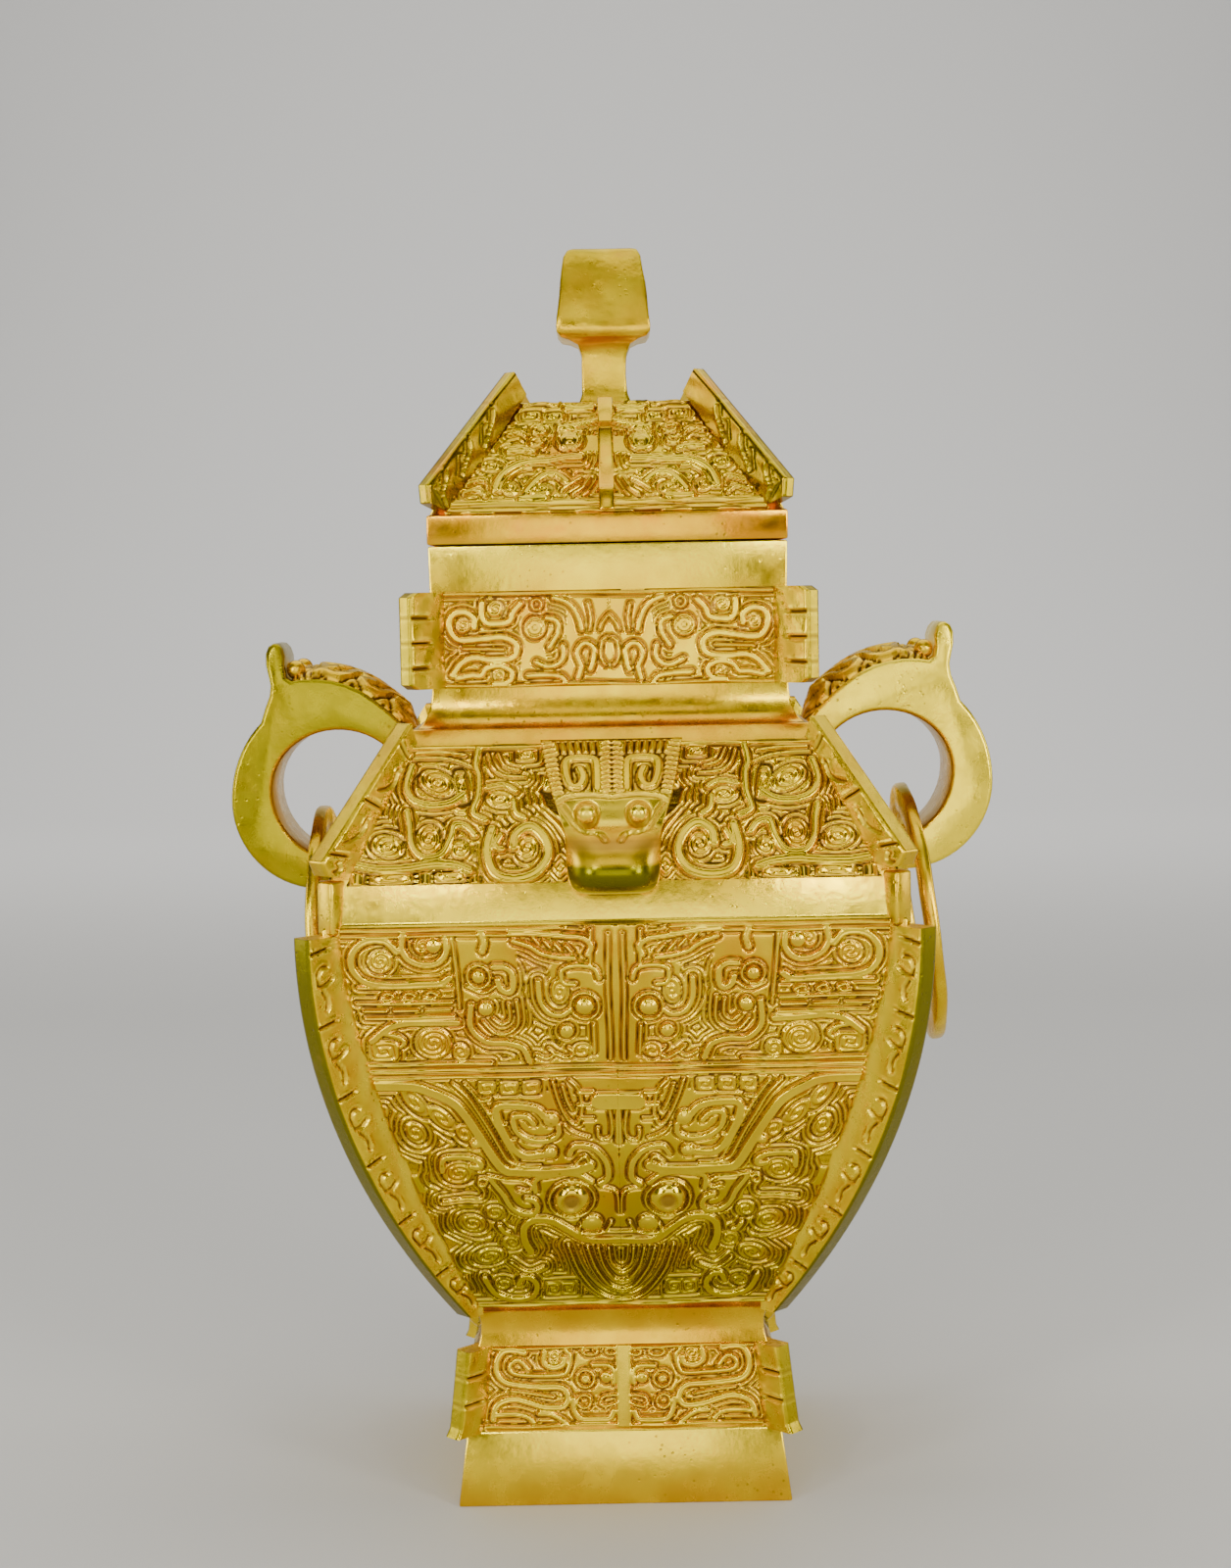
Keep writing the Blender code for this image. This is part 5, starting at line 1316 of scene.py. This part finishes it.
# %% Slope ridges, from where they touch the slope, how far they stand out and their height
ridge_side = [
    (ROOF_HALF - (foot - ROOF) * SLOPE + out, height)
    for foot, out, height in (
        (280, 3.4, 279.6), (272.4, 5.6, 272.8), (272, 3.7, 271.6), (257, 3.7, 257.2),
        (256.6, 5.6, 256.2), (250.6, 4.2, 250.8), (250.6, -1.5, 250.8), (278, -1.5, 277.8),
    )
]
for quarter in range(4):
    ridge = cut_plate(f"slope_ridge_{quarter}", ridge_side, 3.8)
    soften(ridge, 0.5, 2)
    move_points(ridge, points_of(ridge), quarter)
    smooth(ridge, 38)
    hand_over(ridge, LID_GILT, "lid")

# %% [markdown]
# ## Stem and knob
# A square stem carries a knob like a small steep roof with a rounded ridge. Its faces are never
# quite flat, as on work finished by hand. It is extruded level by level from a small square,
# widened to the eaves and drawn in to the ridge, then softened and given a slight waver.

# %% Knob, as half width, half depth and height of each level
KNOB_TOP = 319.2
STEM = [
    (6.9, 6.9, 276.8), (6.7, 6.7, 279.4), (5.9, 5.9, 281.6), (5.7, 5.7, 286.0), (5.8, 5.8, 291.6),
    (6.8, 6.8, 294.2), (8.8, 8.2, 295.3), (11.0, 10.2, 295.9), (12.0, 11.0, 297.2), (12.1, 11.1, 298.6),
    (11.6, 9.6, 303.4), (11.0, 7.2, 310.0), (10.0, 3.8, 317.0), (9.0, 2.2, 318.9), (7.6, 1.4, KNOB_TOP),
]
deselect()
bpy.ops.mesh.primitive_plane_add(size=2 * STEM[0][0] * MM, location=(0, 0, STEM[0][2] * MM))
knob = named("knob")
edit_all()
bpy.ops.mesh.subdivide(number_cuts=7)
for (wide, deep, height), (next_wide, next_deep, next_height) in zip(STEM, STEM[1:]):
    extrude(0, next_height - height)
    shares = (next_wide / wide, next_deep / deep, 1)
    bpy.ops.transform.resize(value=shares, center_override=(0, 0, next_height * MM))
leave_edit()
settle(knob)
soften(knob, 0.7, 3, 50)
modify(knob, "SUBSURF", levels=1, render_levels=1, subdivision_type="SIMPLE")
x, y, z = points_of(knob).T
waver = 0.16 * np.sin(z / 2.9 + x / 4.0) + 0.12 * np.sin(x / 2.1 + y)
places = np.stack([x + 0.10 * np.sin(z / 2.2), y + waver * np.sign(y), np.minimum(z, KNOB_TOP)], axis=1)
move_points(knob, places)
# Painted olive shade, darker towards the top of the knob.
paint(knob, dull=0.3 * ramp(z, 299, 311))
smooth(knob, 38)
hand_over(knob, KNOB_GILT, "lid")

# %% [markdown]
# ## The rings
# A flat loose ring hangs from each handle's lower limb. Its section is a flat strip with rounded
# sides, drawn as a squared oval and then spun about the ring's own axis.

# %% Rings
RING_MIDDLE, RING_THICK, RING_WIDE = 30.3, 3.6, 8.0


def build_ring(name, centre, lean, quarter):
    deselect()
    bpy.ops.mesh.primitive_circle_add(vertices=16, radius=1, fill_type="NOTHING")
    piece = named(name)
    turn = np.linspace(0, 2 * math.pi, 16, endpoint=False)
    cosine, sine = np.cos(turn), np.sin(turn)
    thick = np.sign(cosine) * np.abs(cosine) ** 0.55 * RING_THICK / 2
    wide = np.sign(sine) * np.abs(sine) ** 0.35 * RING_WIDE / 2
    move_points(piece, np.stack([thick, 0 * turn, wide + RING_MIDDLE], axis=1))
    edit_all()
    bpy.ops.mesh.spin(steps=96, angle=2 * math.pi, center=(0, 0, 0), axis=(1, 0, 0))
    bpy.ops.mesh.select_all(action="SELECT")
    bpy.ops.mesh.remove_doubles(threshold=0.01 * MM)
    leave_edit()
    settle(piece)
    x, y, z = points_of(piece).T
    around = np.arctan2(y, z)
    x = x + 0.12 * np.sin(around * 5 + quarter) + 0.08 * np.sin(around * 11)
    cosine, sine = math.cos(math.radians(lean)), math.sin(math.radians(lean))
    leaned = np.stack([x * cosine - z * sine, y, x * sine + z * cosine], axis=1)
    move_points(piece, leaned + centre, quarter)
    smooth(piece)
    return piece


hand_over(build_ring("ring_right_cast", (80.45, 0, 144.55), 7, 0), RING_GILT, "ring_right")
hand_over(build_ring("ring_left_cast", (76.4, 0, 141.1), 0, 2), RING_GILT, "ring_left")

# %% [markdown]
# ## Studio
# A pale floor that sweeps up behind. Large soft lights at the front sides, in front and above, and
# two small ones that put glints on the relief, keep the gold readable. The camera stands where the
# picture was taken from: a little above the middle, tilted down by under five degrees.

# %% Floor
FLOOR_SIZE, FLOOR_RISE, FLOOR_SWEEP = 6, 4, 1.2
deselect()
bpy.ops.mesh.primitive_plane_add(size=FLOOR_SIZE)
floor = named("floor")
bpy.ops.object.mode_set(mode="EDIT")
bpy.ops.mesh.select_mode(type="EDGE")
bpy.ops.mesh.select_all(action="DESELECT")
leave_edit()
for edge in floor.data.edges:
    edge.select = all(floor.data.vertices[index].co.y > 0 for index in edge.vertices)
bpy.ops.object.mode_set(mode="EDIT")
bpy.ops.mesh.extrude_edges_move(TRANSFORM_OT_translate={"value": (0, 0, FLOOR_RISE)})
leave_edit()
modify(floor, "BEVEL", width=FLOOR_SWEEP, segments=24)
smooth(floor, 60)
pale = bpy.data.materials.new("pale_floor")
pale.use_nodes = True
pale_inputs = pale.node_tree.nodes["Principled BSDF"].inputs
pale_inputs["Base Color"].default_value = (0.60, 0.59, 0.57, 1)
pale_inputs["Roughness"].default_value = 0.75
floor.data.materials.append(pale)
print("floor sweeps up over", FLOOR_SWEEP, "m")

# %% Soft lights: place, where they point, size, watts and colour
WARM, CREAM, FAINT, WHITE = (1.0, 0.99, 0.92), (1.0, 1.0, 0.94), (1.0, 1.0, 0.96), (1.0, 1.0, 1.0)
LIGHTS = {
    "left_softbox": ((-0.98, -1.05, 0.42), (0, 0, 0.17), (0.34, 0.6), 7.8, WARM),
    "right_softbox": ((1.0, -1.02, 0.45), (0, 0, 0.17), (0.34, 0.6), 8.5, WARM),
    "front_fill": ((0.0, -1.0, 0.27), (0, 0, 0.2), (0.66, 0.54), 2.7, WARM),
    "left_glint": ((-0.42, -0.95, 0.72), (0, 0, 0.16), (0.10, 0.10), 1.7, FAINT),
    "right_glint": ((0.46, -0.95, 0.66), (0, 0, 0.16), (0.10, 0.10), 1.4, FAINT),
    "high_front": ((0.0, -1.05, 1.25), (0, 0, 0.18), (0.8, 0.36), 1.4, CREAM),
    "left_high": ((-0.95, 0.5, 1.2), (0, 0, 0.18), (0.6, 0.6), 1.8, CREAM),
    "right_high": ((0.95, 0.5, 1.2), (0, 0, 0.18), (0.6, 0.6), 1.8, CREAM),
    "left_side": ((-1.3, 0.05, 0.35), (0, 0, 0.14), (0.5, 0.7), 5, CREAM),
    "right_side": ((1.3, 0.10, 0.40), (0, 0, 0.14), (0.5, 0.7), 4, CREAM),
    "top_front": ((0.0, -0.22, 1.3), (0, 0, 0.1), (0.9, 0.5), 2.6, FAINT),
    "overhead": ((0.0, 1.0, 2.0), (0, 0.8, 0), (2.4, 1.6), 24, WHITE),
    "back_light": ((0.0, 1.4, 1.2), (0, 2.6, 0.5), (2.4, 0.8), 26, WHITE),
}
for name, (place, target, size, power, colour) in LIGHTS.items():
    light = bpy.data.lights.new(name, "AREA")
    light.shape = "RECTANGLE"
    light.size, light.size_y = size
    light.energy = power
    light.color = colour
    lamp = bpy.data.objects.new(name, light)
    bpy.context.scene.collection.objects.link(lamp)
    lamp.location = place
    x, y, z = np.array(target) - place
    lamp.rotation_euler = (math.atan2(math.hypot(x, y), -z), 0, math.atan2(x, -y) + math.pi)
world = bpy.data.worlds.new("studio")
bpy.context.scene.world = world
world.use_nodes = True
background = world.node_tree.nodes["Background"].inputs
background["Color"].default_value = (1.0, 0.97, 0.92, 1)
background["Strength"].default_value = 0.07
print("lights:", len(LIGHTS))

# %% Camera
PICTURE_TALL, SHIFT_PIXELS = 1600, 3.5
CAMERA_PLACE, TILT_DOWN, ROLL = (0, -0.650, 0.2335), 4.73, -1.1
camera_data = bpy.data.cameras.new("camera")
camera_data.lens = 56.59
camera_data.sensor_width = 36
camera_data.shift_x = SHIFT_PIXELS / PICTURE_TALL
camera = bpy.data.objects.new("camera", camera_data)
bpy.context.scene.collection.objects.link(camera)
camera.matrix_world = (
    Matrix.Translation(CAMERA_PLACE)
    @ Matrix.Rotation(math.radians(90 - TILT_DOWN), 4, "X")
    @ Matrix.Rotation(math.radians(ROLL), 4, "Z")
)
bpy.context.scene.camera = camera
print("camera at", CAMERA_PLACE)
